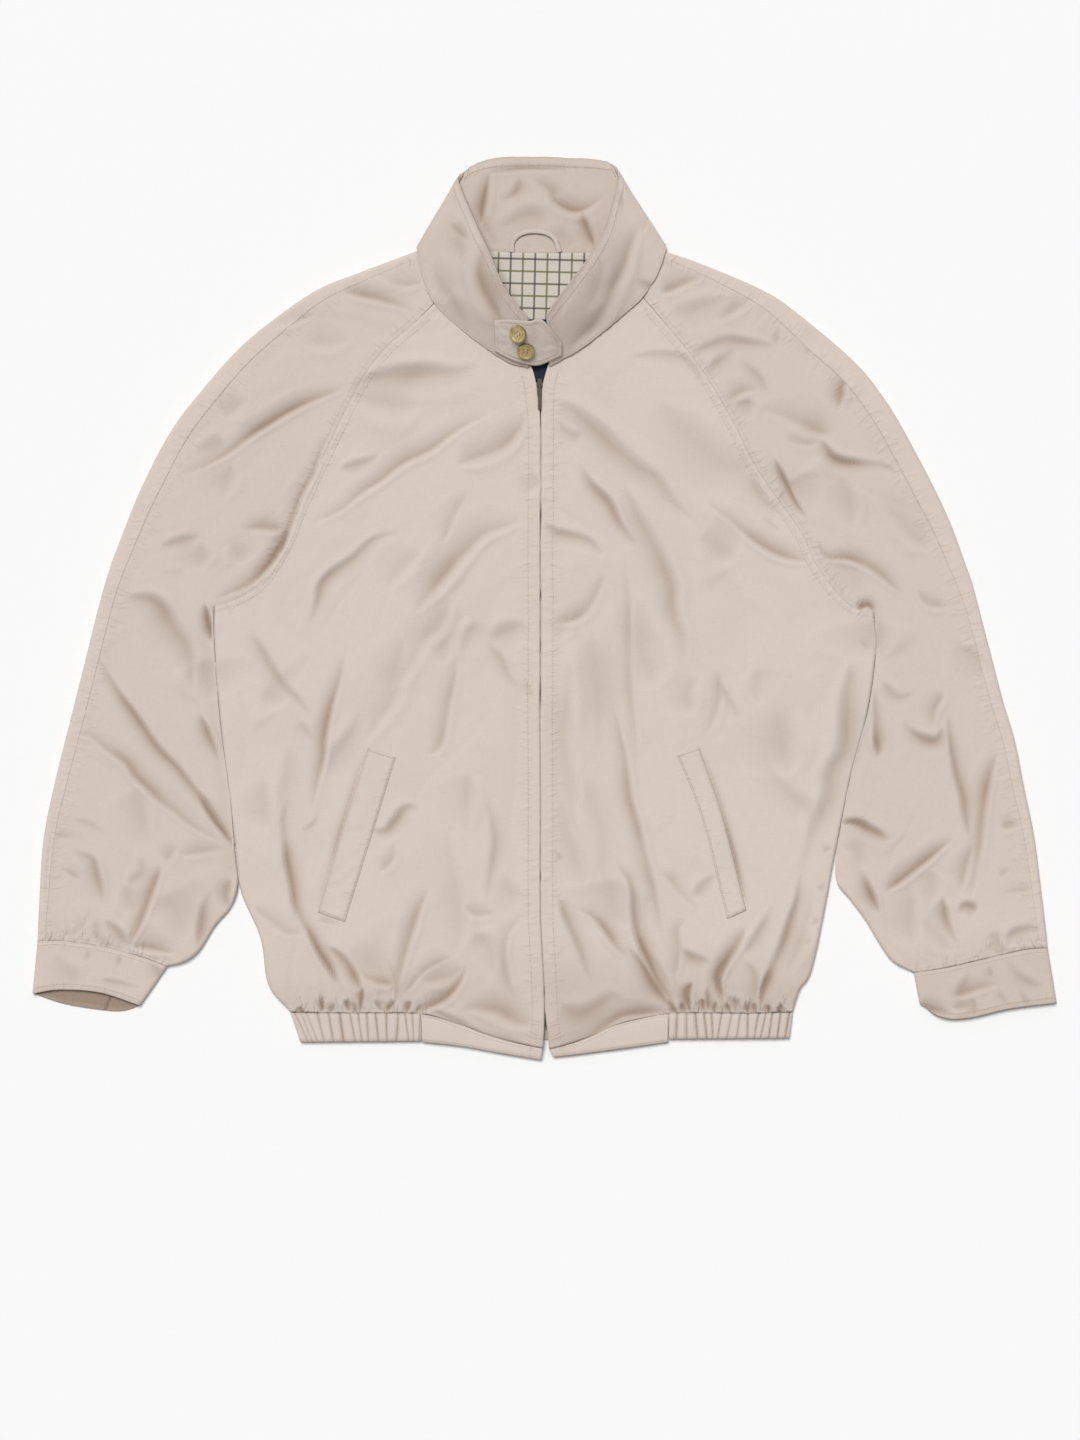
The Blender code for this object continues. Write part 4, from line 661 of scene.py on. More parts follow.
# a plain weave on the cloth's own UV, which is in metres
weaveGroup, given, wanted = newGroup(
    "plainWeave", {"Vector": None, "Pitch": 0.0006, "Depth": 0.00003}, ("Height", "Shade"))
axes = addNode(weaveGroup, "SeparateXYZ", {"Vector": given["Vector"]}).outputs
waves = []
for index in (0, 1):
    turn = maths(weaveGroup, "MULTIPLY", maths(weaveGroup, "DIVIDE", axes[index], given["Pitch"]), math.tau)
    waves.append(maths(weaveGroup, "SINE", turn))
checker = maths(weaveGroup, "MULTIPLY", *waves)
slubs = [scaledNoise(weaveGroup, stretched(weaveGroup, given["Vector"], by), 1.0, 1.0)
         for by in ((2600, 90, 1), (90, 2600, 1))]
slub = maths(weaveGroup, "ADD", *slubs)
height = maths(weaveGroup, "MULTIPLY", maths(weaveGroup, "ADD", checker, slub), given["Depth"])
weaveGroup.links.new(height, wanted["Height"])
weaveGroup.links.new(maths(weaveGroup, "MULTIPLY_ADD", slub, 0.10, 0.90), wanted["Shade"])

# uneven dye and handling, slow over the cloth
mottleGroup, given, wanted = newGroup("unevenDye", {"Vector": None, "Amount": 0.06}, ("Shade", "Height"))
broad = scaledNoise(mottleGroup, given["Vector"], 14.0, 3.0)
small = scaledNoise(mottleGroup, given["Vector"], 420.0, 2.0)
both = maths(mottleGroup, "ADD", maths(mottleGroup, "SUBTRACT", broad, 0.5),
             maths(mottleGroup, "MULTIPLY", maths(mottleGroup, "SUBTRACT", small, 0.5), 0.5))
mottleGroup.links.new(maths(mottleGroup, "MULTIPLY_ADD", both, given["Amount"], 1.0), wanted["Shade"])
mottleGroup.links.new(maths(mottleGroup, "MULTIPLY", small, 0.00012), wanted["Height"])

# a row of stitches: the groove it pulls into the cloth, the puckers across it, and painted shade in the
# groove
grooveGroup, given, wanted = newGroup(
    "stitchedRow", {"Distance": 9.0, "Along": 0.0, "Groove": 0.0003, "Pucker": 0.0008, "Reach": 9.0,
                    "Pitch": 7.0, "Dark": 0.08}, ("Height", "Shade"))  # distance and along in millimetres
apart = maths(grooveGroup, "ABSOLUTE", given["Distance"])
narrow = maths(grooveGroup, "MULTIPLY", maths(grooveGroup, "MULTIPLY", apart, apart), -1.1)
deep = maths(grooveGroup, "POWER", math.e, narrow)
slow = {"X": maths(grooveGroup, "MULTIPLY", given["Along"], 0.055),
        "Y": maths(grooveGroup, "MULTIPLY", given["Distance"], 0.03)}
slow = addNode(grooveGroup, "CombineXYZ", slow).outputs[0]
drift = maths(grooveGroup, "MULTIPLY", scaledNoise(grooveGroup, slow, 1.0, 2.0), 4.5)
phase = maths(grooveGroup, "ADD", maths(grooveGroup, "DIVIDE", given["Along"], given["Pitch"]), drift)
wave = maths(grooveGroup, "SINE", maths(grooveGroup, "MULTIPLY", phase, math.pi))
wave = maths(grooveGroup, "POWER", maths(grooveGroup, "ABSOLUTE", wave), 0.7)
patch = maths(grooveGroup, "MULTIPLY_ADD", scaledNoise(grooveGroup, slow, 2.3, 1.0), 2.6, -0.8)
patch = maths(grooveGroup, "MAXIMUM", maths(grooveGroup, "MINIMUM", patch, 1.0), 0.12)
far = maths(grooveGroup, "DIVIDE", apart, maths(grooveGroup, "MULTIPLY", given["Reach"], patch))
far = maths(grooveGroup, "MULTIPLY", far, far)
fade = maths(grooveGroup, "POWER", math.e, maths(grooveGroup, "MULTIPLY", far, -1.0))
pulled = maths(grooveGroup, "MULTIPLY", maths(grooveGroup, "MULTIPLY", wave, fade), given["Pucker"])
pulled = maths(grooveGroup, "MULTIPLY", pulled, patch)
height = maths(grooveGroup, "SUBTRACT", pulled, maths(grooveGroup, "MULTIPLY", deep, given["Groove"]))
grooveGroup.links.new(height, wanted["Height"])
# painted shade in the groove
shade = maths(grooveGroup, "SUBTRACT", 1.0, maths(grooveGroup, "MULTIPLY", deep, given["Dark"]))
grooveGroup.links.new(shade, wanted["Shade"])

# the small sharp crinkles of washed cotton
crinkleGroup, given, wanted = newGroup("washedCrinkle", {"Vector": None, "Amount": 0.0002}, ("Height",))
bent = stretched(crinkleGroup, given["Vector"], (1.0, 0.62, 1.0))
ridges = addNode(crinkleGroup, "TexNoise",
                 {"Vector": bent, "Scale": 62.0, "Detail": 2.0, "Roughness": 0.5, "Distortion": 0.7},
                 noise_type="RIDGED_MULTIFRACTAL", normalize=True).outputs["Fac"]
where = scaledNoise(crinkleGroup, given["Vector"], 9.0, 1.0)
where = maths(crinkleGroup, "MAXIMUM", maths(crinkleGroup, "MULTIPLY_ADD", where, 3.2, -1.1), 0.15)
crinkled = maths(crinkleGroup, "MULTIPLY", maths(crinkleGroup, "MULTIPLY", ridges, where), given["Amount"])
crinkleGroup.links.new(crinkled, wanted["Height"])

# the darkest brown here is painted shade, mixed into the cloth where folds, hollows and shaded parts are
clothColours = {"stone": (0.668, 0.572, 0.508, 1), "worn": (0.50, 0.40, 0.33, 1),
                "pale": (0.75, 0.66, 0.585, 1), "grime": (0.27, 0.185, 0.125, 1),
                "thread": (0.60, 0.48, 0.39, 1)}
stitchNames = ("rowA", "rowB", "rowC")


def clothMaterial(name, colour, rows=(), weave=0.0006, depth=0.00003, rough=0.82, crinkle=0.0002):
    made, tree, shader = newMaterial(name, {"Roughness": rough, "Sheen Weight": 0.2, "Sheen Roughness": 0.5,
                                            "Specular IOR Level": 0.25})
    uv = addNode(tree, "UVMap", uv_map="UVMap").outputs["UV"]
    place = objectPlace(tree)
    weft = useGroup(tree, weaveGroup, {"Vector": uv, "Pitch": weave, "Depth": depth})
    dye = useGroup(tree, mottleGroup, {"Vector": place})
    creased = useGroup(tree, crinkleGroup, {"Vector": place, "Amount": crinkle})
    shade = maths(tree, "MULTIPLY", weft["Shade"], dye["Shade"])
    height = maths(tree, "ADD", maths(tree, "ADD", weft["Height"], dye["Height"]), creased["Height"])
    for row, (groove, pucker, reach, pitch, dark) in zip(stitchNames, rows):
        inputs = {"Distance": attribute(tree, row), "Along": attribute(tree, row + "Run"),
                  "Groove": groove * mm, "Pucker": pucker * mm, "Reach": reach, "Pitch": pitch, "Dark": dark}
        seam = useGroup(tree, grooveGroup, inputs)
        shade = maths(tree, "MULTIPLY", shade, seam["Shade"])
        height = maths(tree, "ADD", height, seam["Height"])
    # painted shade: the cloth's colour is pulled towards that dark brown where the attribute marks it
    held = maths(tree, "MULTIPLY", attribute(tree, "grime"), 0.82)
    shadePainted = mixed(tree, held, colour, clothColours["grime"])
    patchy = maths(tree, "MULTIPLY_ADD", scaledNoise(tree, place, 160.0, 3.0), 0.9, 0.45)
    patchy = maths(tree, "MULTIPLY", attribute(tree, "wear"), patchy)
    worn = mixed(tree, patchy, shadePainted, clothColours["worn"])
    scaled = addNode(tree, "VectorMath", {0: worn, 3: shade}, operation="SCALE").outputs[0]
    dress(tree, shader, scaled, height)
    return made


def clothArea(points):
    a = points[1:, :-1] - points[:-1, :-1]
    b = points[:-1, 1:] - points[:-1, :-1]
    return float(np.linalg.norm(np.cross(a, b), axis=2).sum())


def declareSheet(outer):
    # works out the cut's flat size, its length along the rows and its width across them, and keeps nothing
    area = clothArea(outer)
    length = np.linalg.norm(np.diff(outer, axis=0), axis=2).sum(0).max()
    width = np.linalg.norm(np.diff(outer, axis=1), axis=2).sum(1).max()
    share = area / (width * length)
    if share < 0.3:
        width = area / (0.32 * length)
    width, length = (math.ceil(float(size) * 1000) / 1000 for size in (width, length))


def pick(*pieces):
    bpy.ops.object.select_all(action="DESELECT")
    for piece in pieces:
        piece.select_set(True)
        bpy.context.view_layer.objects.active = piece


def makeCloth(name, outer, uv, material, facing, node, rests, thick=cloth["thick"], rows=None,
              wear=None):
    # a grid shaped to the rows of outer, then given its wall; where rests is given, the cut's flat size is
    # worked out and not kept
    pick()
    across, down = outer.shape[1], outer.shape[0]
    bpy.ops.mesh.primitive_grid_add(x_subdivisions=across - 1, y_subdivisions=down - 1, size=1)
    made = bpy.context.object
    made.name = made.data.name = name
    mesh = made.data
    start = np.empty(len(mesh.vertices) * 3)
    mesh.vertices.foreach_get("co", start)
    start = start.reshape(-1, 3)
    order = np.lexsort((start[:, 0].round(5), start[:, 1].round(5)))  # by row, then by column
    places = np.empty_like(start)
    places[order] = outer.reshape(-1, 3)
    mesh.vertices.foreach_set("co", places.ravel())
    corner = np.empty(len(mesh.loops), int)
    mesh.loops.foreach_get("vertex_index", corner)
    flat = np.empty((len(start), 2))
    flat[order] = uv.reshape(-1, 2)
    mesh.uv_layers[0].name = "UVMap"
    mesh.uv_layers[0].data.foreach_set("uv", flat[corner].ravel())
    blank = np.zeros(outer.shape[:2])
    # every cloth gets a wear attribute and a painted-shade attribute, zero unless given
    for key, values in {"wear": blank if wear is None else wear, "grime": blank, **(rows or {})}.items():
        data = np.empty(len(start), np.float32)
        data[order] = values.ravel()
        mesh.attributes.new(key, "FLOAT", "POINT").data.foreach_set("value", data)
    mesh.update()
    row, column, sign = facing
    face = mesh.polygons[min(row, down - 2) * (across - 1) + min(column, across - 2)]
    if face.normal.z * sign < 0:
        mesh.flip_normals()
    wall = made.modifiers.new("cloth", "SOLIDIFY")
    wall.thickness = thick * mm
    wall.offset = -1
    bpy.ops.object.modifier_apply(modifier=wall.name)
    bpy.ops.object.shade_smooth()
    mesh.materials.append(material)
    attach(made, "jacket")
    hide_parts(node)
    if rests is not None:
        declareSheet(outer)
    return made


def stitchRows(*found):
    # attributes for rows of stitches: how far a point is from the row, and how far along, in millimetres
    rows = {}
    for key, (distance, run) in zip(stitchNames, found):
        rows[key], rows[key + "Run"] = distance, run
    return rows


def rowsFrom(at, *seams):
    found = []
    for line, offset in seams:
        distance, side, place, total = nearLine(at, line, 0.05)
        found.append((np.clip(distance / mm - offset, -30, 30), place / mm))
    return stitchRows(*found)


def grain(at, turn=0.0):
    turn = math.radians(turn)
    return np.stack([at[..., 0] * math.cos(turn) - at[..., 1] * math.sin(turn),
                     at[..., 0] * math.sin(turn) + at[..., 1] * math.cos(turn)], -1)


# The rows of stitches on each cloth: groove and pucker in millimetres, reach, pitch and the painted shade in
# the groove.
stitched = {
    "front": ((0.09, 0.65, 9, 8.0, 0.03), (0.14, 0.65, 7, 7.0, 0.05), (0.12, 1.7, 17, 9.0, 0.04)),
    "sleeve": ((0.03, 0.6, 10, 8.0, 0.0), (0.12, 0.75, 9, 7.0, 0.05), (0.12, 1.3, 14, 8.0, 0.04)),
    "cuff": ((0.16, 0.45, 7, 7.0, 0.06), (0.16, 0.55, 6, 6.0, 0.06), (0.20, 0.2, 4, 6.0, 0.10)),
    "collar": ((0.20, 0.60, 7, 6.5, 0.07), (0.12, 0.5, 9, 9.0, 0.05), (0.08, 0.2, 3, 5.0, 0.03)),
    "hem": ((0.16, 0.35, 6, 7.0, 0.06), (0.14, 0.5, 7, 7.0, 0.05), (0.14, 0.2, 4, 7.0, 0.06)),
    "tab": ((0.20, 0.35, 5, 6.0, 0.08),),
    "welt": ((0.12, 0.3, 5, 8.0, 0.05), (0.16, 0.5, 8, 8.0, 0.09), (0.16, 0.2, 4, 6.0, 0.08)),
    "back": ((0.16, 0.5, 8, 8.0, 0.06),),
}
cloths = {}
for name, rows in stitched.items():
    crinkle = 0.00015 if name in ("tab", "welt") else 0.0002
    cloths[name] = clothMaterial(name + "Cotton", clothColours["stone"], rows, crinkle=crinkle)
print("materials made")

quarter = (2, 5, 20, 45, 68)  # the angles of a rolled edge that get a column
tops, frontOuter = {}, {}

# The fronts.
fronts = {"columns": 128, "zipStitch": 11.5, "raglanStitch": 5.0, "hemStitch": 3.5, "underCollar": 4.5,
          "join": 0.10, "gapsAt": ((383, 425), (505, 525), (590, 600), (680, 705), (1010, 1048)),
          "gap": 0.9, "lowPaintedShade": {"Left": 0.14, "Right": 0.24}}


def zipEdge(side, inward):
    # the two edges nearly meet; here and there they stand open
    line = joinedLine(edgeLine(lines[f"zip{side}Low"], rowsLow), edgeLine(lines[f"zip{side}High"], rowsHigh))
    down = sheetMiddle[1] - line[:, 1] / step
    wander = patternOfNoise(line[:, 1] / 0.05, line[:, 1] * 0 + 0.5, 91) * 0.7 * mm
    apart = np.full(len(line), fronts["join"] / 2)
    for top, bottom in fronts["gapsAt"]:
        off = np.abs(down - (top + bottom) / 2) / (bottom - top)
        apart += fronts["gap"] / 2 * np.clip(1 - off * 1.4, 0, 1)
    apart += 0.25 * np.clip(patternOfNoise(line[:, 1] / 0.012, line[:, 1] * 0 + 2.5, 92), 0, 1)
    shut = np.clip((1035 - down) / 25, 0, 1) * np.clip((down - 395) / 20, 0, 1)
    target = zipAcross(line[:, 1]) + wander - inward * apart * mm
    line[:, 0] = line[:, 0] * (1 - shut) + target * shut
    return line


def frontHeight(at):
    # the edges beside the zip roll down a little
    rolled = np.exp(-((at[..., 0] - zipAcross(at[..., 1])) / (1.0 * mm)) ** 2)
    return topHeight(at) - 0.45 * mm * rolled


for side, inward in (("Left", 1), ("Right", -1)):
    centre = onSheet(bodyMiddle)
    outside = joinedLine(movedIn(edgeLine(lines["side" + side], rowsLow), centre, 0.15 * mm),
                         movedIn(edgeLine(lines["raglan" + side], rowsHigh), centre, 0.02 * mm))
    inside = zipEdge(side, inward)
    rolled = rolledRows(True)
    way = towards(outside, inside)
    count = len(outside)
    neck = [(x + (545 - x) * 0.045, y - fronts["underCollar"]) for x, y in lines["neck" + side]]
    neckEnds = smoothLine(onSheet(neck))
    rise = np.clip((np.linspace(0, 1, count) - 0.93) / 0.07, 0, 1)[:, None] ** 2
    inside = inside + (neckEnds[-1] - onSheet(lines["neck" + side])[-1]) * rise
    outside = outside + (neckEnds[0] - onSheet(lines["neck" + side])[0]) * rise
    bend = endBender(outside, inside, ((neck, lastRows(count, 0.4)),
                                       (lines["hem" + side], lastRows(count, 0.35)[::-1])))
    outer = np.concatenate([foldedPart(outside, way, quarter, rolled, frontHeight, bend),
                            levelPart(foldedIn(outside, way, rolled), inside,
                                      np.linspace(0, 1, fronts["columns"]), frontHeight, bend)], 1)
    at = outer[..., :2]
    rows = rowsFrom(at, (inside[::4], fronts["zipStitch"]), (outside[rowsLow::4], fronts["raglanStitch"]),
                    (edgeLine(lines["hem" + side], 60), fronts["hemStitch"]))
    # painted shade: the drawn folds' troughs, and the fronts darker towards the hem where the cloth bulges
    # and turns down, more on the right
    lowPart = np.clip((onSheet((0, 940))[1] - at[..., 1]) / (50 * step), 0, 1)
    rows["grime"] = np.clip(drawnFolds(at)[1] + fronts["lowPaintedShade"][side] * lowPart, 0, 1)
    # no gathers beside the plain hem ends
    rows["rowC"] = np.where(np.abs(at[..., 0]) < cloth["plainHem"] * step, 30, rows["rowC"])
    frontOuter[side] = outer
    tops[side] = makeCloth(f"frontPanel{side}", outer, grain(at), cloths["front"], (count // 2, 60, 1),
                           f"front_{side.lower()}", ["backPanel"], rows=rows)
print("fronts made")

# The back, one panel that comes round both sides.
centre = onSheet(bodyMiddle)
edges = []
for side in ("Left", "Right"):
    lower = movedIn(edgeLine(lines["side" + side], rowsLow), centre, cloth["edgeGap"] * mm)
    upper = movedIn(edgeLine(lines["backRaglan" + side], rowsHigh), centre, cloth["seamGap"] * mm / 2)
    edges.append(joinedLine(lower, upper)[::3])
left, right = edges
rolled = rolledRows(True)[::3]
way = towards(left, right)
bend = endBender(left, right, ((lines["backNeck"], lastRows(len(left), 0.2)),))
down = [-angle for angle in quarter]
start, end = foldedIn(left, way, rolled), foldedIn(right, -way, rolled)
outer = np.concatenate([foldedPart(left, way, down, rolled, topHeight, bend),
                        levelPart(start, end, np.linspace(0, 1, 70), 0, bend),
                        foldedPart(right, -way, down[::-1], rolled, topHeight, bend)], 1)
at = outer[..., :2]
toSeam = np.minimum(nearLine(at, left, 0.05)[0], nearLine(at, right, 0.05)[0]) / mm
makeCloth("backPanel", outer, grain(at), cloths["back"], (40, 40, -1), "back", ["frontPanelLeft"],
          rows=stitchRows((np.clip(toSeam - 5, -30, 30), at[..., 1] / mm)))
print("back made")

# The sleeves, a front and a back each.
sleeves = {"columns": 78, "topStitch": 4.5, "sink": 2.4, "sinkReach": 8}
for side in ("Left", "Right"):
    outside, inside = sleeveLines(side)
    under = sleeveLines(side, "backRaglan")[1]
    rolled = rolledRows(False)
    way = towards(outside, inside)
    count = len(outside)
    inside = inside + way * 0.12 * mm * (1 - rolled)[:, None] + way * 0.45 * mm * rolled[:, None]
    over = np.interp(np.linspace(0, 1, count), wrap["at"], wrap[side.lower()]) * step
    seam = outside + way * over[:, None]
    cuffRows = (lines["cuffSeam" + side], lastRows(count, 0.2))
    bend = endBender(outside, inside, (cuffRows,))
    pit = inside[rowsHigh + 4::5]
    besideBody = pit[pit[:, 1] > onSheet((0, 880))[1]]

    def sleeveHeight(at):
        # the sleeve passes a little under the body's edge
        distance = nearLine(at, besideBody, 0.05)[0] / mm
        return topHeight(at) - sleeves["sink"] * mm * np.exp(-((distance / sleeves["sinkReach"]) ** 2))

    shares = np.insert(np.linspace(0, 1, sleeves["columns"]), 1, 0.002)
    hair = 0.005 * mm  # what the two halves keep apart
    start, end = seam + way * hair, foldedIn(inside, -way, rolled)
    outer = np.concatenate([levelPart(start, end, shares, sleeveHeight, bend),
                            foldedPart(inside, -way, quarter[::-1], rolled, sleeveHeight, bend)], 1)
    at = outer[..., :2]
    cuffSeam = edgeLine(lines["cuffSeam" + side], 30)
    rows = rowsFrom(at, (seam[::4], sleeves["topStitch"]), (inside[:rowsHigh:4], 4.0), (cuffSeam, 3.0))
    # painted shade in the drawn folds, and the whole sleeve a little darker
    rows["grime"] = np.clip(drawnFolds(at)[1] + 0.07, 0, 1)
    turn = 24 if side == "Left" else -24
    makeCloth(f"sleeveFront{side}", outer, grain(at, turn), cloths["sleeve"], (count // 2, 30, 1),
              f"sleeve_{side.lower()}_front", [f"sleeveBack{side}"], rows=rows)

    underWay = towards(under, outside)
    whole = np.ones(count)
    start, end = foldedIn(under, underWay, rolled), outside + way * cloth["fold"] * mm
    outer = np.concatenate([
        foldedPart(under, underWay, down, rolled, topHeight, bend),
        levelPart(start, end, np.linspace(0, 1, 26), 0, bend),
        foldedPart(outside, way, (-60, -30, -0.01), whole, topHeight, bend),
        foldedPart(outside, way, (30, 60), whole, topHeight, bend),
        levelPart(end, seam - way * hair, np.linspace(0, 1, 9), topHeight, bend)], 1)[::2]
    at = outer[..., :2]
    rows = rowsFrom(at, (seam[::4], 2.6), (seam[::4], 60), (cuffSeam, 3.0))
    makeCloth(f"sleeveBack{side}", outer, grain(at, turn), cloths["sleeve"], (80, 16, -1),
              f"sleeve_{side.lower()}_back", [f"sleeveFront{side}"], rows=rows)
print("sleeves made")

# The cuffs, tubes that lie flat.
cuffs = {
    "Left": {"seam": lines["cuffSeamLeft"], "grime": 0.08, "turn": 8,
             "front": ((32, 994), (60, 990), (100, 993), (140, 1006)),
             "back": ((32, 996), (60, 1005), (90, 1010), (120, 1012), (140, 1006))},
    "Right": {"seam": lines["cuffSeamRight"], "grime": 0.16, "turn": -8,
              "front": ((1057, 1003), (1010, 1009), (970, 1018), (944, 1018), (920, 1004)),
              "back": ((1057, 1005), (1010, 1008), (970, 1014), (944, 1014), (920, 1004))},
    "gap": -0.4, "rise": 0.4, "lap": 0.7, "thick": 1.5, "tuck": 1.3, "inside": 1.0,
    "grooves": (2.6, 5.5, 1.0), "sewn": (("seam", -3.6), ("front", 5.5)),
}
cuffCreases = (
    ("fine", ((100, 980), (120, 983), (140, 988))), ("soft", ((60, 955), (66, 970), (80, 985))),
    ("fine", ((120, 955), (118, 968))), ("fine", ((88, 950), (86, 962))),
    ("medium", ((150, 962), (158, 970), (162, 980))), ("medium", ((950, 998), (975, 988), (1002, 982))),
    ("medium", ((966, 972), (963, 985), (958, 1000))), ("medium", ((973, 997), (975, 1016))),
    ("strong", ((917, 1005), (935, 1009), (952, 1013))),
    ("medium", ((1008, 960), (1020, 976), (1042, 988))), ("fine", ((990, 966), (992, 980))),
    ("fine", ((999, 990), (1010, 1008))), ("fine", ((1020, 990), (1028, 1006))),
    ("medium", ((952, 1008), (971, 1007))),
)


def cuffHeight(at):
    top = np.full(at.shape[:-1], (cloth["loft"] + cuffs["rise"]) * mm)
    for seed, (kind, points) in enumerate(cuffCreases):
        top = top + foldAt(at, kind, points, 300 + seed)[0]
    for name in ("cuffSeamLeft", "cuffSeamRight"):
        top = top + puckerHeight(at, name, 8.0, 14, 0.5, 60)
    for side, seed in (("Left", 61), ("Right", 62)):
        seamLines["mouth" + side] = edgeLine(cuffs[side]["front"], 24)
        top = top + puckerHeight(at, "mouth" + side, 6.5, 11, 0.45, seed)
    top = top + patternOfNoise(at[..., 0] / 0.021, at[..., 1] / 0.03, 63) * 0.35 * mm
    for name in ("cuffSeamLeft", "cuffSeamRight"):
        distance = nearLine(at, seamLines[name], 0.03)[0] / mm
        top = top - cuffs["tuck"] * mm * np.exp(-((distance / 1.6) ** 2))
    return top


for side in ("Left", "Right"):
    drawn = cuffs[side]
    down = np.r_[0, 0.006, np.linspace(0.03, 0.97, 30), 0.994, 1]
    rowCount = len(down)
    ends = [smoothLine(onSheet(drawn[key])) for key in ("seam", "front")]
    left, right = (ends[0][end] + (ends[1][end] - ends[0][end]) * down[:, None] for end in (0, -1))
    way = towards(left, right)
    up = np.array((-way[0, 1], way[0, 0]))
    up = up if up[1] > 0 else -up
    left, right = left - up * cuffs["gap"] * mm, right - up * cuffs["gap"] * mm
    whole = np.ones(rowCount)
    start, end = foldedIn(left, way, whole), foldedIn(right, -way, whole)
    onFront = endBender(left, right, ((drawn["seam"], 1 - down), (drawn["front"], down)))
    onBack = endBender(left, right, ((drawn["seam"], 1 - down), (drawn["back"], down)))
    lap = cloth["seamGap"] * mm / np.linalg.norm(end[0] - start[0])
    outer = np.concatenate([
        levelPart(start, end, np.linspace(cuffs["lap"] + lap, 1, 8), 0, onBack),
        foldedPart(right, -way, (-60, -30, -0.01), whole, cuffHeight, onBack),
        foldedPart(right, -way, (30, 60), whole, cuffHeight, onFront),
        levelPart(start, end, np.linspace(1, 0, 64), cuffHeight, onFront),
        foldedPart(left, way, (60, 30, 0.01), whole, cuffHeight, onFront),
        foldedPart(left, way, (-30, -60), whole, cuffHeight, onBack),
        levelPart(start, end, np.linspace(0, cuffs["lap"], 18), 0, onBack)], 1)
    at = outer[..., :2]
    drop = np.linspace(0, 1, rowCount)[:, None] * np.ones(outer.shape[1])
    deep = np.linalg.norm(ends[1][0] - ends[0][0]) / mm
    run = at[..., 0] / mm
    toMouth = deep * (1 - drop)
    seamAt, mouthAt, edgeAt = cuffs["grooves"]
    rows = stitchRows((deep * drop - seamAt, run), (toMouth - mouthAt, run), (toMouth - edgeAt, run))
    creases = sum(foldAt(at, kind, points, 300 + seed)[1] for seed, (kind, points) in enumerate(cuffCreases))
    # painted shade in the creases, on an even darkening of each cuff that is heavier on the right
    rows["grime"] = drawn["grime"] + creases
    worn = np.clip(1 - (1 - drop) * 7, 0, 1) * 0.5
    piece = makeCloth(f"cuffBand{side}", outer, grain(at, drawn["turn"]), cloths["cuff"], (16, 40, 1),
                      f"cuff_{side.lower()}", [f"sleeveFront{side}"], cuffs["thick"], rows, worn)
    insidePaintedShade = np.empty(len(piece.data.vertices), np.float32)  # painted shade: the inside of a cuff is made fully dark, for the shade in its mouth
    piece.data.attributes["grime"].data.foreach_get("value", insidePaintedShade)
    insidePaintedShade[len(insidePaintedShade) // 2:] = cuffs["inside"]
    piece.data.attributes["grime"].data.foreach_set("value", insidePaintedShade)
print("cuffs made")

# The hem: ribbed elastic round the sides and the back, plain ends beside the zip.
hem = {"ribs": 14, "rise": 1.1, "leftEnd": 421, "rightEnd": 669, "top": ((290, 1014.3), (793, 1014.3)),
       "bottom": ((300, 1042), (790, 1038)), "deep": 26, "bandRise": 0.5, "bandDrop": 1.2, "bandDeep": 28,
       "bottomLeft": ((422, 1042), (460, 1046), (500, 1053), (541, 1060)),
       "bottomRight": ((668, 1042), (640, 1046), (580, 1054), (553, 1057)), "thick": 1.5,
       "tuckedUp": 1.6, "groove": 1.2, "edgeGroove": 1.5, "zipGroove": 11, "sewnUp": 2.2, "sewnDown": 2.8}
ribsEach = 12
top, bottom = onSheet(hem["top"]), onSheet(hem["bottom"])
down = np.linspace(0, 1, 15)[:, None]
left, right = (top[i] + (bottom[i] - top[i]) * down for i in (0, 1))
left[:, 1] += hem["tuckedUp"] * mm * (1 - down[:, 0])
right[:, 1] += hem["tuckedUp"] * mm * (1 - down[:, 0])
way = towards(left, right)
whole = np.ones(len(left))
fold = cloth["fold"] * mm


def straight(at):
    return at


def hemLevel(at):
    drop = np.clip((left[0, 1] - at[..., 1]) / (hem["deep"] * mm), 0, 1)
    return (cloth["loft"] - 1.6 * np.exp(-((drop / 0.07) ** 2)) - 0.6 * drop**4) * mm


def ribbed(start, end, seed):
    # elastic channels: uneven rounded ribs with narrow deep folds between them, and the painted shade in
    # those folds
    shares = np.linspace(0, 1, ribsEach * hem["ribs"] + 1)
    part = levelPart(start, end, shares, hemLevel, straight)
    drift = 0.55 * patternOfNoise(shares * 7, shares * 0 + 0.5, seed)
    lean = (down - 0.5) * 0.8 * patternOfNoise(shares * 9, shares * 0 + 3.5, seed)[None]
    turn = np.pi * ((shares * hem["ribs"] + drift)[None] + lean)
    swell = np.abs(np.sin(turn)) ** 0.5
    second = 0.25 * np.abs(np.sin(turn * 2 + 0.6)) ** 0.6
    second = second * (patternOfNoise(shares * 11, shares * 0 + 1.5, seed)[None] > 0)
    size = 0.8 + 0.45 * patternOfNoise(shares * 6, shares * 0 + 9.5, seed)[None]
    fade = np.interp(down[:, 0], (0, 0.12, 0.85, 1), (0.6, 1, 1, 0.6))[:, None]
    part[..., 2] += hem["rise"] * mm * (swell + second - 0.75) * size * fade * 1.9
    return part, np.exp(-((swell / 0.52) ** 2)) * (0.5 + 0.5 * size) * np.ones(part.shape[:2])


def hemEnd(x):
    share = (onSheet((x, 0))[0] - left[:, :1]) / (right - left)[:, :1]
    return left + (right - left) * share


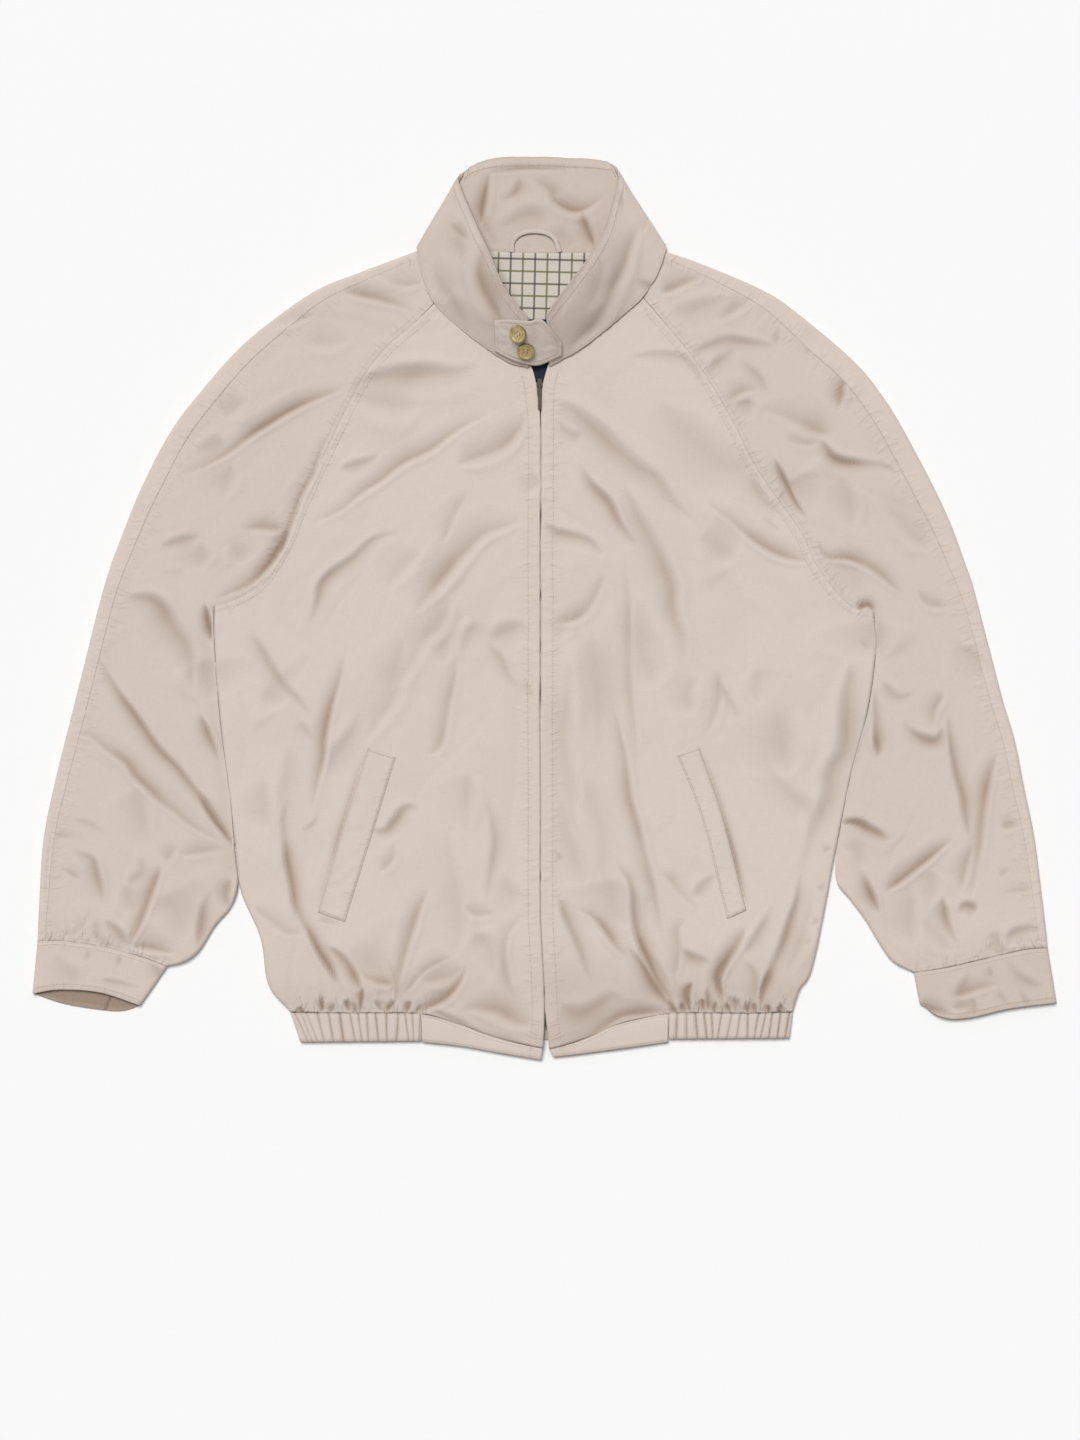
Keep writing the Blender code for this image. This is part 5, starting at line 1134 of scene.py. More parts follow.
ribsLeft, ribPaintedShadeLeft = ribbed(hemEnd(hem["leftEnd"]), left + way * fold, 71)
ribsRight, ribPaintedShadeRight = ribbed(right - way * fold, hemEnd(hem["rightEnd"]), 72)
outer = np.concatenate([
    ribsLeft,
    foldedPart(left, way, (60, 30, 0.01), whole, hemLevel, straight),
    foldedPart(left, way, (-30, -60), whole, hemLevel, straight),
    levelPart(left + way * fold, right - way * fold, np.linspace(0, 1, 60), 0, straight),
    foldedPart(right, -way, (-60, -30, -0.01), whole, hemLevel, straight),
    foldedPart(right, -way, (30, 60), whole, hemLevel, straight),
    ribsRight], 1)
at = outer[..., :2]
drop = down * np.ones(outer.shape[1])
hidden = np.zeros((len(left), outer.shape[1] - ribPaintedShadeLeft.shape[1] - ribPaintedShadeRight.shape[1]))
run = at[..., 0] / mm
rows = stitchRows((hem["deep"] * drop - hem["groove"], run), (np.full(drop.shape, 30.0), run),
                  (hem["deep"] * (1 - drop) - hem["edgeGroove"], run))
# painted shade in the folds between the ribs
rows["grime"] = np.concatenate([ribPaintedShadeLeft, hidden, ribPaintedShadeRight], 1) * 1.15
worn = np.clip(1 - (1 - drop) * 6, 0, 1) * 0.35
elastic = makeCloth("hemElastic", outer, grain(at), cloths["hem"], (7, 30, 1), "hem_elastic",
                    ["frontPanelLeft"], hem["thick"], rows, worn)
for side, endX in (("Left", hem["leftEnd"]), ("Right", hem["rightEnd"])):
    points = lines["hem" + side]
    points = [point for point in points if (point[0] - endX) * (points[-1][0] - endX) >= 0]
    columns = 56
    topLine = edgeLine(points, columns - 1)
    lowLine = edgeLine(hem["bottom" + side], columns - 1)
    topLine[:, 1] += 0.9 * mm
    topLine[0, 0] += np.sign(lowLine[-1, 0] - lowLine[0, 0]) * 2 * cloth["seamGap"] * mm
    shares = np.linspace(0, 1, 18)[:, None, None]
    at = topLine[None] + (lowLine - topLine)[None] * shares
    z = (cloth["loft"] + hem["bandRise"]) * mm - hem["bandDrop"] * mm * shares[..., 0] ** 3 * np.ones(columns)
    z = z + patternOfNoise(at[..., 0] / 0.024, at[..., 1] / 0.013, 73) * 0.45 * mm
    z = z - 2.2 * mm * np.exp(-((shares[..., 0] / 0.09) ** 2))
    outer = np.dstack([at, z])
    deep = hem["bandDeep"] * shares[..., 0] * np.ones(columns)
    toZip = nearLine(at, np.stack([topLine[-1], lowLine[-1]]), 0.04)[0] / mm
    run = at[..., 0] / mm
    rows = stitchRows((deep - 1.6, run), (toZip - hem["zipGroove"], at[..., 1] / mm),
                      (hem["bandDeep"] - deep - hem["edgeGroove"], run))
    worn = np.clip(1 - (1 - shares[..., 0] * np.ones(columns)) * 6, 0, 1) * 0.4
    makeCloth(f"hemBand{side}", outer, grain(at), cloths["hem"], (8, 20, 1), f"hem_band_{side.lower()}",
              [elastic], thick=hem["thick"], rows=rows, wear=worn)
print("hem made")

# The collar, from its left front end round the nape to its right front end.
collarForm = {"thick": 2.0, "clear": 0.45, "onFront": 7.5, "perStation": 9, "rows": 44, "edgeStitch": 8.5,
              "neckGroove": 2.0, "edgeGroove": 1.6,
              "paintedShadeAt": (0, 6, 8, 15, 17, 24), "grime": (0.16, 0.14, 0.17, 0.17, 0.05, 0.04)}
collarStations = (  # seam x, y, z; edge x, y, z; bulge
    (528, 368, 9.6, 528, 322, 46, 1.5), (510, 363, 9.6, 514, 306, 47, 2.0),
    (484, 347, 9.6, 501, 286, 44, 2.5), (455, 325, 9.6, 489, 255, 36, 3.0),
    (434, 303, 9.6, 477, 228, 26, 2.5), (423, 278, 9.6, 466, 202, 17, 1.5),
    (417.5, 254, 9.8, 460, 186, 11, 0.5), (418, 243.5, 5.4, 458, 176, 5.4, 0),
    (430, 246.6, 0.4, 468, 169, 0.4, 0), (450, 250, 0, 479, 163, 0, 0), (475, 250.3, 0, 492, 159, 0, 0),
    (510, 253.5, 0, 510, 157, 0, 0), (545, 255, 0, 540, 156.5, 0, 0), (585, 254.4, 0, 572, 158, 0, 0),
    (612, 252.8, 0, 592, 159.5, 0, 0), (636, 251, 0, 603, 161, 0, 0), (653, 247.2, 0.4, 611, 163, 0.4, 0),
    (665, 244.2, 5.4, 618, 170, 5.4, 0.5), (664.5, 255, 9.8, 618, 183, 11, 1.0),
    (656, 277, 9.6, 613, 203, 17, 1.5), (643, 297, 9.6, 606, 229, 26, 2.0),
    (627, 312, 9.6, 592, 255, 36, 2.5), (605, 330, 9.6, 574, 281, 43, 2.5),
    (580, 349, 9.6, 558, 302, 46, 2.0), (550, 367, 9.6, 547, 318, 46, 1.5),
)
collarCreases = {
    "left": (
        ("soft", ((448, 216), (457, 240), (459, 264))), ("medium", ((450, 224), (462, 236), (471, 240))),
        ("wide", ((484, 246), (479, 276), (490, 305), (507, 323))),
        ("medium", ((492, 302), (494, 318), (497, 332))), ("soft", ((446, 288), (456, 314), (470, 336))),
        ("soft", ((432, 262), (440, 285), (450, 300))),
    ),
    "nape": (
        ("deep", ((489, 172), (485, 196), (479, 226))),
        ("fine", ((488, 172), (520, 168.5), (560, 168), (604, 169))),
        ("medium", ((502, 200), (516, 191), (520, 178))),
        ("strong", ((545, 188), (560, 204), (580, 210), (604, 196))),
        ("deep", ((583, 212), (589, 232), (596, 250))), ("soft", ((500, 226), (530, 215), (548, 222))),
        ("medium", ((477, 206), (486, 226), (497, 246))), ("soft", ((560, 225), (565, 240), (575, 246))),
        ("medium", ((535, 178), (550, 190), (556, 200))),
    ),
    "right": (
        ("wide", ((640, 220), (625, 258), (612, 285), (600, 312), (585, 335), (566, 352))),
        ("medium", ((634, 196), (648, 214), (641, 234))), ("medium", ((636, 280), (650, 286), (661, 290))),
        ("soft", ((606, 262), (598, 290), (584, 315))), ("fine", ((622, 190), (622, 215))),
    ),
}
table = np.array(collarStations, float)
columns = collarForm["perStation"] * (len(table) - 1)
line = smoothLine(table, 36)
line = line[np.linspace(0, len(line) - 1, columns + 1).round().astype(int)]
station = np.linspace(0, len(table) - 1, columns + 1)
seam, rim = onSheet(line[:, 0:2]), onSheet(line[:, 3:5])
seamZ = line[:, 2] * mm
calmFolds = topHeight(seam)
clear = np.minimum(calmFolds, 9.5 * mm) + (2.2 + collarForm["clear"]) * mm
seamZ = np.where(line[:, 2] > collarForm["onFront"], np.maximum(seamZ, clear), seamZ)
shares = np.r_[0, 0.004, np.linspace(0.022, 0.978, collarForm["rows"] - 4), 0.996, 1][:, None]
at = seam[None] + (rim - seam)[None] * shares[..., None]
z = seamZ[None] + (line[:, 5] * mm - seamZ)[None] * shares + line[:, 6][None] * mm * np.sin(np.pi * shares)
outer = np.dstack([at, np.maximum(z, 0)])
normal = np.cross(np.gradient(outer, axis=0), np.gradient(outer, axis=1))
normal /= np.linalg.norm(normal, axis=2, keepdims=True)
middleRow = collarForm["rows"] // 2
if normal[middleRow, columns // 2, 2] > 0:
    normal = -normal
whole = np.ones(z.shape)
relief, held = np.zeros(z.shape), np.zeros(z.shape)
# the drawn creases' relief, and the painted shade in them
for part, low, high in (("left", -1, 6.5), ("nape", 8.5, 15.5), ("right", 17.5, 30)):
    here = np.clip((station - low) / 1.0, 0, 1) * np.clip((high - station) / 1.0, 0, 1)
    for seed, (kind, points) in enumerate(collarCreases[part]):
        rise, dark = foldAt(at, kind, points, 400 + seed)
        relief += rise * here[None] * 0.8
        held = np.maximum(held, dark * here[None])
along = lengthsAlong(np.dstack([at, z])[middleRow])[None] / mm * whole
edgeTo = np.linalg.norm(rim - seam, axis=1)[None] * (1 - shares) / mm
for pitch, reach, amount, apart, seed in ((8, 9, 0.22, edgeTo, 81), (10, 10, 0.25, shares * 70, 82)):
    wave = np.sin(2 * np.pi * (along / pitch + 1.2 * patternOfNoise(along / 30, along * 0, seed)))
    relief += wave * np.exp(-((apart / reach) ** 2)) * amount * mm
relief += patternOfNoise(along / 26, shares * 3, 83) * 0.5 * mm
relief += patternOfNoise(along / 11, shares * 7, 84) * 0.16 * mm
onFloor = (outer[..., 2] < 1 * mm) & (normal[..., 2] < 0)
lift = 2.6 * mm * np.clip(shares / 0.35, 0, 1) * np.clip((1 - shares) / 0.06, 0, 1) + 0.1 * mm  # at the nape
outer = outer + normal * np.where(onFloor, -np.maximum(relief * 1.3 + lift, 0), relief)[..., None]
outer[..., 2] = np.maximum(outer[..., 2], 0)
uv = np.stack([along * mm, shares * 0.085 * whole], -1)
toEdge = np.clip(edgeTo - collarForm["edgeStitch"], -30, 30) * whole
toNeck = np.clip(shares * 80 - collarForm["neckGroove"], -30, 30) * whole
toRim = np.clip(edgeTo - collarForm["edgeGroove"], -30, 30) * whole
rows = stitchRows((toEdge, along), (toNeck, along), (toRim, along))
# painted shade along the collar, most on the left flap and round the nape, little on the right flap; more in
# the drawn creases
shadePainted = np.interp(station, collarForm["paintedShadeAt"], collarForm["grime"])
rows["grime"] = np.clip(held * 1.2 + shadePainted, 0, 1)
worn = np.exp(-((edgeTo / 2.0) ** 2)) * 0.55 * whole
collarPiece = makeCloth("collarStand", outer, uv, cloths["collar"], (middleRow, columns // 2, -1), "collar",
                        ["frontPanelLeft"], collarForm["thick"], rows, worn)
outerCollar = outer
print("collar made")


def surfaceOf(piece):
    places = [vertex.co for vertex in piece.data.vertices]
    return BVHTree.FromPolygons(places, [face.vertices for face in piece.data.polygons])


def cast(tree, x, y):
    # the highest point of a surface at a place, or None
    return tree.ray_cast(Vector((x, y, 1)), Vector((0, 0, -1)))[0]


def topOver(piece):
    tree = surfaceOf(piece)

    def top(x, y):
        hit = cast(tree, x, y)
        return hit.z if hit is not None else math.nan

    return top


# The throat tab, on both ends of the collar.
tab = {"bottom": ((495, 352), (512, 361), (528, 365.5), (541, 365.5), (562, 356)),
       "top": ((494, 322), (512, 323), (530, 325), (542, 324), (562, 344)),
       "creases": (((496, 330), (506, 332), (514, 338)), ((498, 344), (508, 347)),
                   ((540, 350), (552, 346), (562, 350))),
       "thick": 2.0, "reach": 2.4, "clear": 0.4, "rows": 30, "columns": 48, "groove": 3.2, "stitch": 3.4}
topCollar = topOver(collarPiece)
lowTab, highTab = (edgeLine(tab[key], tab["columns"] - 1) for key in ("bottom", "top"))
shares = np.linspace(0, 1, tab["rows"])[:, None, None]
at = lowTab[None] + (highTab - lowTab)[None] * shares
z = np.empty(at.shape[:2])
for row in range(tab["rows"]):
    found = []
    for x, y in at[row]:
        around = np.array([topCollar(x + dx * mm, y) for dx in (-tab["reach"], 0, tab["reach"])])
        found.append(np.nanmax(around) if np.isfinite(around).any() else math.nan)
    found = np.array(found)
    held = ~np.isnan(found)
    z[row] = np.interp(at[row, :, 0], at[row, held, 0], found[held])
for again in range(10):  # eased, so that it doesn't copy every crease under it
    eased = z.copy()
    eased[1:-1] = (z[:-2] + 2 * z[1:-1] + z[2:]) / 4
    eased[:, 1:-1] = (eased[:, :-2] + 2 * eased[:, 1:-1] + eased[:, 2:]) / 4
    z = np.maximum(eased, z - 0.05 * mm)
z += (tab["thick"] + tab["clear"]) * mm
for seed, points in enumerate(tab["creases"]):
    z += foldAt(at, "fine", points, 500 + seed)[0] * 0.7
outer = np.dstack([at, z])
across = np.abs(np.linspace(-1, 1, tab["rows"]))[:, None]
width = np.linalg.norm(highTab - lowTab, axis=1)[None] / mm
run = lengthsAlong(lowTab)[None] / mm
fromEdge = np.minimum((1 - across) * width / 2, np.minimum(run, run[:, -1:] - run))
rows = stitchRows((fromEdge - tab["groove"], (at[..., 0] + at[..., 1]) / mm))
tabPiece = makeCloth("throatTab", outer, grain(at), cloths["tab"], (15, 20, 1), "throat_tab", [collarPiece],
                     thick=tab["thick"], rows=rows, wear=np.exp(-((fromEdge / 1.2) ** 2)) * 0.4)
print("tab made")

# The pocket welts, from the fronts' own surface moved out.
welts = {"Left": {"mouth": ((368, 748), (345, 821), (318, 912)),
                  "back": ((396, 757), (372, 835), (345, 922))},
         "Right": {"mouth": ((699, 747), (722, 815), (746, 910)),
                   "back": ((677, 755), (702, 820), (727, 919))},
         "rows": 76, "columns": 16, "thick": 1.0, "clear": 0.35, "sunk": 0.2, "grooves": (2.0, 1.8, 2.2)}
for side in ("Left", "Right"):
    topFront = topOver(tops[side])
    mouth, rear = (edgeLine(welts[side][key], welts["rows"] - 1) for key in ("mouth", "back"))
    across = np.linspace(0, 1, welts["columns"])[None]
    at = mouth[:, None] + (rear - mouth)[:, None] * across[..., None]
    z = np.array([[topFront(x, y) for x, y in line] for line in at])
    spread = z.copy()
    for again in range(2):
        spread[1:-1] = np.maximum(spread[1:-1], np.maximum(spread[:-2], spread[2:]) - 0.15 * mm)
    z = spread + (welts["thick"] + welts["clear"]) * mm
    z[:, :2] += np.array((0.25, 0.1)) * mm
    z -= (welts["thick"] + welts["clear"] - welts["sunk"]) * mm * across**5  # sewn in at the rear
    outer = np.dstack([at, z])
    toMouth = across * np.linalg.norm(rear - mouth, axis=1)[:, None] / mm
    run = lengthsAlong(mouth)[:, None] / mm
    toEnd = np.minimum(run, run[-1] - run) * np.ones(toMouth.shape)
    x, y = at[..., 0] / mm, at[..., 1] / mm
    mouthAt, rearAt, endAt = welts["grooves"]
    toRear = toMouth.max(1)[:, None] - toMouth
    rows = stitchRows((toMouth - mouthAt, y), (toRear - rearAt, y), (toEnd - endAt, x))
    worn = np.exp(-((toMouth / 1.5) ** 2)) * 0.6
    makeCloth(f"pocketWelt{side}", outer, grain(at, 20), cloths["welt"], (30, 6, 1),
              f"pocket_welt_{side.lower()}", [tops[side]], thick=welts["thick"], rows=rows, wear=worn)
print("welts made")

# The sewing: one stitch is modelled, then laid along each row.
thread = {"length": 2.1, "pitch": 2.9, "radius": 0.21, "lift": 0.10}


def threadMaterial():
    made, tree, shader = newMaterial("sewingThread", {"Roughness": 0.6, "Sheen Weight": 0.3})
    place = objectPlace(tree)
    tint = mixed(tree, scaledNoise(tree, place, 300.0, 1.0), clothColours["thread"], clothColours["pale"])
    twist = addNode(tree, "TexWave", {"Vector": place, "Scale": 900.0, "Distortion": 2.0}).outputs["Fac"]
    dress(tree, shader, tint, twist, 0.00008)
    return made


threadLook = threadMaterial()
pick()
bpy.ops.mesh.primitive_cylinder_add(vertices=6, radius=thread["radius"] * mm, depth=thread["length"] * mm,
                                    rotation=(0, math.pi / 2, 0), location=(thread["length"] * mm / 2, 0, 0))
oneStitch = bpy.context.object
oneStitch.name = "oneStitch"
bpy.ops.object.transform_apply(location=True, rotation=True)
bpy.ops.object.mode_set(mode="EDIT")
bpy.ops.mesh.select_all(action="DESELECT")
bpy.ops.object.mode_set(mode="OBJECT")
for face in oneStitch.data.polygons:
    face.select = abs(face.normal.x) > 0.9
bpy.ops.object.mode_set(mode="EDIT")
bpy.ops.mesh.select_mode(type="FACE")
bpy.ops.mesh.bevel(offset=0.12 * mm, segments=1, affect="EDGES")
bpy.ops.object.mode_set(mode="OBJECT")
oneStitch.data.materials.append(threadLook)
bpy.ops.object.shade_smooth()
sewnRows = {}


def addObject(name, data):
    made = bpy.data.objects.new(name, data)
    made.name = made.data.name = name
    bpy.context.scene.collection.objects.link(made)
    return made


def repeatAlong(shape, places, pitch, count):
    # copies a small shape along a line of points
    curveData = bpy.data.curves.new("rowPath", "CURVE")
    curveData.dimensions = "3D"
    curveData.twist_mode = "Z_UP"
    spline = curveData.splines.new("POLY")
    spline.points.add(len(places) - 1)
    spline.points.foreach_set("co", np.c_[places, np.ones(len(places))].ravel())
    path = addObject("rowPath", curveData)
    pick(shape)
    repeat = shape.modifiers.new("repeat", "ARRAY")
    repeat.count = count
    repeat.use_relative_offset = False
    repeat.use_constant_offset = True
    repeat.constant_offset_displace = (pitch * mm, 0, 0)
    follow = shape.modifiers.new("follow", "CURVE")
    follow.object = path
    bpy.ops.object.modifier_apply(modifier=repeat.name)
    bpy.ops.object.modifier_apply(modifier=follow.name)
    bpy.data.objects.remove(path, do_unlink=True)


def sewAlong(group, places, pitch):
    count = int(lengthsAlong(places)[-1] / (pitch * mm))
    if count < 2:
        return
    row = addObject(group, oneStitch.data.copy())
    repeatAlong(row, places, pitch, count)
    sewnRows.setdefault(group, []).append(row)


def sewOn(group, piece, line, spacing=2.2, pitch=thread["pitch"]):
    # the row lies on the highest cloth under the line; where there is none, it ends
    tree = surfaceOf(piece)
    line = evenLine(line, max(4, int(lengthsAlong(line)[-1] / (spacing * mm))))
    run = []
    for x, y in list(line) + [(9.0, 9.0)]:
        hit = cast(tree, x, y)
        if hit is not None:
            run.append((x, y, hit.z + thread["lift"] * mm))
        else:
            if len(run) > 3:
                sewAlong(group, np.array(run), pitch)
            run = []


for side, inward in (("Left", 1), ("Right", -1)):
    outer = frontOuter[side]
    zipLine, raglanLine = outer[:, -1, :2], outer[rowsLow:, 3, :2]
    sewOn("zipStitches" + side, tops[side], zipLine[6:-4] - np.array((inward * fronts["zipStitch"] * mm, 0)))
    besideRaglan = movedIn(raglanLine[6:-6], onSheet(bodyMiddle), fronts["raglanStitch"] * mm)
    sewOn("raglanStitches" + side, tops[side], besideRaglan)
    mouth, rear = (edgeLine(welts[side][key], 30) for key in ("mouth", "back"))
    ends = np.array([mouth[0], rear[0]]), np.array([rear[-1], mouth[-1]])
    weltPiece = bpy.data.objects[f"pocketWelt{side}"]
    away = towards(mouth[15][None], rear[15][None])[0] * 1.8 * mm
    sewOn("weltStitches" + side, weltPiece, rear[1:-1] - away, 1.6, 2.4)
    for end, back in ((ends[0], -2.0), (ends[1], 2.0)):
        line = end * 0.94 + end[::-1] * 0.06 + np.array((0, back * mm))
        sewOn("weltStitches" + side, weltPiece, line, 1.6, 2.4)
    for key, shift in cuffs["sewn"]:
        line = smoothLine(onSheet(cuffs[side][key])) + np.array((0, shift * mm))
        sewOn("cuffStitches" + side, bpy.data.objects[f"cuffBand{side}"], line)
    lowRow = smoothLine(onSheet(hem["bottom" + side])) + np.array((0, hem["sewnUp"] * mm))
    highRow = edgeLine(lines["hem" + side], 60)[2:-2] - np.array((0, hem["sewnDown"] * mm))
    for line in (lowRow, highRow):
        sewOn("hemStitches" + side, bpy.data.objects[f"hemBand{side}"], line)
collarRow = outerCollar[-1] + towards(outerCollar[-1], outerCollar[-2]) * collarForm["edgeStitch"] * mm
for low, high in ((2, 66), (70, 146), (150, len(collarRow) - 2)):
    sewOn("collarStitches", collarPiece, collarRow[low:high, :2])
tabEdge = np.vstack([lowTab[2:-1], highTab[::-1][1:-1]])
fromMiddle = tabEdge - tabEdge.mean(0)
inset = 1 - tab["stitch"] * mm / np.linalg.norm(fromMiddle, axis=1, keepdims=True)
sewOn("tabStitches", tabPiece, tabEdge.mean(0) + fromMiddle * inset, 1.6, 2.4)
for group, rows in sewnRows.items():
    pick(*rows[::-1])
    if len(rows) > 1:
        bpy.ops.object.join()
    rows[0].name = rows[0].data.name = group
    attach(rows[0], "jacket")
bpy.data.objects.remove(oneStitch, do_unlink=True)
print("sewing made")

# Inside the neck: lining, label and loop.
liningLook = {"cream": (0.66, 0.61, 0.53, 1), "charcoal": (0.045, 0.045, 0.05, 1),
              "olive": (0.13, 0.125, 0.05, 1), "pitch": 0.0115, "line": 0.16}


def liningMaterial():
    # a plain tattersall: fine lines evenly apart both ways, charcoal and olive in turn
    made, tree, shader = newMaterial("liningCotton", {"Roughness": 0.75, "Sheen Weight": 0.2})
    uv = addNode(tree, "UVMap", uv_map="UVMap").outputs["UV"]
    axes = addNode(tree, "SeparateXYZ", {"Vector": uv}).outputs
    weft = useGroup(tree, weaveGroup, {"Vector": uv, "Pitch": 0.0007, "Depth": 0.00004})
    colour = liningLook["cream"]
    for name, shift in (("charcoal", 0.25), ("olive", 0.75)):
        for index in (0, 1):
            place = maths(tree, "DIVIDE", axes[index], liningLook["pitch"] * 2)
            place = maths(tree, "FRACT", maths(tree, "ADD", place, shift))
            apart = maths(tree, "ABSOLUTE", maths(tree, "SUBTRACT", place, 0.5))
            lined = maths(tree, "MULTIPLY", maths(tree, "LESS_THAN", apart, liningLook["line"] / 4), 0.8)
            colour = mixed(tree, lined, colour, liningLook[name])
    scaled = addNode(tree, "VectorMath", {0: colour, 3: weft["Shade"]}, operation="SCALE").outputs[0]
    dress(tree, shader, scaled, weft["Height"])
    return made


neck = {"top": ((456, 250.5), (500, 252.0), (545, 253.0), (590, 252.5), (630, 251.5)),
        "left": ((456, 250.5), (461, 300), (470, 345), (497, 378), (535, 390)),
        "right": ((630, 251.5), (626, 300), (610, 345), (585, 378), (547, 390)), "z": 2.75}
left, right = (edgeLine(neck[key], 70) for key in ("left", "right"))
bend = endBender(left, right, ((neck["top"], lastRows(71, 0.3)[::-1]),))
shares = np.linspace(0, 1, 90)
at = bend(left[:, None] + (right - left)[:, None] * shares[None, :, None])
z = neck["z"] * mm + (0.35 + 0.35 * patternOfNoise(at[..., 0] / 0.024, at[..., 1] / 0.03, 85)) * mm
z = z + 1.6 * mm * np.exp(-((np.linspace(0, 1, 71)[:, None] / 0.05) ** 2))
outer = np.dstack([at, z])
lining = makeCloth("neckLining", outer, grain(at, 1.5), liningMaterial(), (30, 40, 1), "lining_neck",
                   ["backPanel"], thick=0.6)

label = {"x": (506, 572), "y": (319, 382), "z": 4.2, "navy": (0.012, 0.018, 0.045, 1)}
labelLook = clothMaterial("labelSatin", label["navy"], weave=0.0004, depth=0.00005, rough=0.5, crinkle=0.0)
ys, xs = np.linspace(label["y"][0], label["y"][1], 26), np.linspace(label["x"][0], label["x"][1], 30)
at = onSheet(np.stack(np.meshgrid(xs, ys), -1))
z = label["z"] * mm + 0.2 * mm * patternOfNoise(at[..., 0] / 0.02, at[..., 1] / 0.02, 86)
outer = np.dstack([at, z])
makeCloth("neckLabel", outer, grain(at), labelLook, (12, 12, 1), "label", [lining], thick=0.5)

loop = {"line": ((511.5, 252), (512.5, 242), (518, 235), (527, 231.5), (537, 231), (547, 233), (555, 239),
                 (559.5, 252)),
        "width": 4.6, "rise": 2.2, "z": 4.6}
middle = edgeLine(loop["line"], 70)
across = sideways(middle)
shares = np.linspace(-0.5, 0.5, 9)
at = middle[:, None] + across[:, None] * shares[None, :, None] * loop["width"] * mm
arch = np.sin(np.pi * np.linspace(0, 1, 71))[:, None]
z = (loop["z"] + loop["rise"] * arch + 0.45 * np.sqrt(np.clip(1 - (2 * shares) ** 2, 0, 1))[None]) * mm
outer = np.dstack([at, z])
run = lengthsAlong(middle)[:, None] / mm * np.ones(9)
rows = stitchRows((np.abs(shares)[None] * loop["width"] * np.ones((71, 1)) - loop["width"] * 0.32, run))
uv = np.stack([run * mm, shares[None] * loop["width"] * mm * np.ones((71, 1))], -1)
makeCloth("hangingLoop", outer, uv, cloths["tab"], (35, 4, 1), "hanging_loop", None, thick=1.0, rows=rows)
print("neck made")

# The zip: teeth, tapes, and the metal of the slider and its pull.
zipForm = {"pitch": 2.5, "tooth": (2.0, 1.25, 1.3), "under": 2.3, "tapeFrom": 2.9, "tapeTo": 13.2,
           "tape": (0.105, 0.088, 0.070, 1)}


def metalMaterial(name, colour, rough):
    made, tree, shader = newMaterial(name, {"Metallic": 1.0})
    place = objectPlace(tree)
    handled = scaledNoise(tree, place, 700.0, 3.0)
    bright = tuple(min(1, channel * 1.7) for channel in colour[:3]) + (1,)
    tree.links.new(maths(tree, "MULTIPLY_ADD", handled, 0.25, rough - 0.1), shader.inputs["Roughness"])
    scratches = scaledNoise(tree, stretched(tree, place, (4000, 500, 500)), 1.0, 2.0)
    dress(tree, shader, mixed(tree, handled, colour, bright), scratches, 0.00004)
    return made


sliderMetal = metalMaterial("sliderMetal", (0.055, 0.048, 0.040, 1), 0.52)
teethMetal = metalMaterial("teethMetal", (0.045, 0.038, 0.030, 1), 0.5)
for node in ("zip_slider", "zip_pull"):
    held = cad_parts[node].data.materials
    for index in range(max(1, len(held))):
        if len(held):
            held[index] = sliderMetal
        else:
            held.append(sliderMetal)


def zipLevel(at):
    near = [topHeight(at + np.array((dx * mm, dy * mm))) for dx in (-3, 0, 3) for dy in (-3, 0, 3)]
    return np.min(near, 0)


zipLine = edgeLine(lines["zip"], 260)
level = zipLevel(zipLine[::5])
level = np.interp(np.arange(261), np.arange(0, 261, 5), np.minimum(level, np.r_[level[1:], level[-1]]))
chainZ = level - (cloth["thick"] + zipForm["under"]) * mm
for side, way in (("Left", -1), ("Right", 1)):
    pick()
    start = (zipForm["pitch"] * mm * (0.25 + 0.25 * way), way * 1.0 * mm, 0)
    bpy.ops.mesh.primitive_cube_add(size=1, location=start)
    tooth = bpy.context.object
    tooth.name = tooth.data.name = "zipTeeth" + side
    tooth.scale = (zipForm["tooth"][1] * mm, zipForm["tooth"][0] * mm, zipForm["tooth"][2] * mm)
    bpy.ops.object.transform_apply(location=True, rotation=True, scale=True)
    bpy.ops.object.mode_set(mode="EDIT")
    bpy.ops.mesh.select_all(action="SELECT")
    bpy.ops.mesh.bevel(offset=0.28 * mm, segments=1, affect="EDGES")
    bpy.ops.object.mode_set(mode="OBJECT")
    places = np.c_[zipLine, chainZ]
    toothCount = int(lengthsAlong(places)[-1] / (zipForm["pitch"] * mm)) - 1
    repeatAlong(tooth, places, zipForm["pitch"], toothCount)
    bpy.ops.object.shade_smooth_by_angle(angle=math.radians(35))
    tooth.data.materials.append(teethMetal)
    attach(tooth, "jacket")
    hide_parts("zip_chain")
    reach = np.linspace(zipForm["tapeFrom"] - 1.6, zipForm["tapeTo"], 12)
    at = zipLine[:, None] + np.array((way * mm, 0.0)) * reach[None, :, None]
    z = (chainZ - 0.15 * mm)[:, None] * np.ones(12)
    outer = np.dstack([at, z])
    tapeLook = clothMaterial("zipTapeCotton" + side, zipForm["tape"], weave=0.0009, depth=0.00008,
                             crinkle=0.0)
    makeCloth("zipTape" + side, outer, grain(at), tapeLook, (100, 6, 1), f"zip_tape_{side.lower()}",
              ["backPanel"], thick=0.7)
print("zip made")

# The buttons: one disc is modelled, then copied.
buttonForm = {"across": 16.5, "deep": 2.8, "rim": 1.5, "dish": 0.55, "hole": 0.95, "apart": 2.625,
              "places": (("button_upper", 519.8, 335.6, 0.34, -0.10),
                         ("button_lower", 526.0, 351.4, 0.10, 0.05)),  # node, x, y, tilt, lean
              "strand": {"radius": 0.42, "long": 3.0, "up": 2.35}, "shank": {"radius": 1.7, "long": 2.2}}


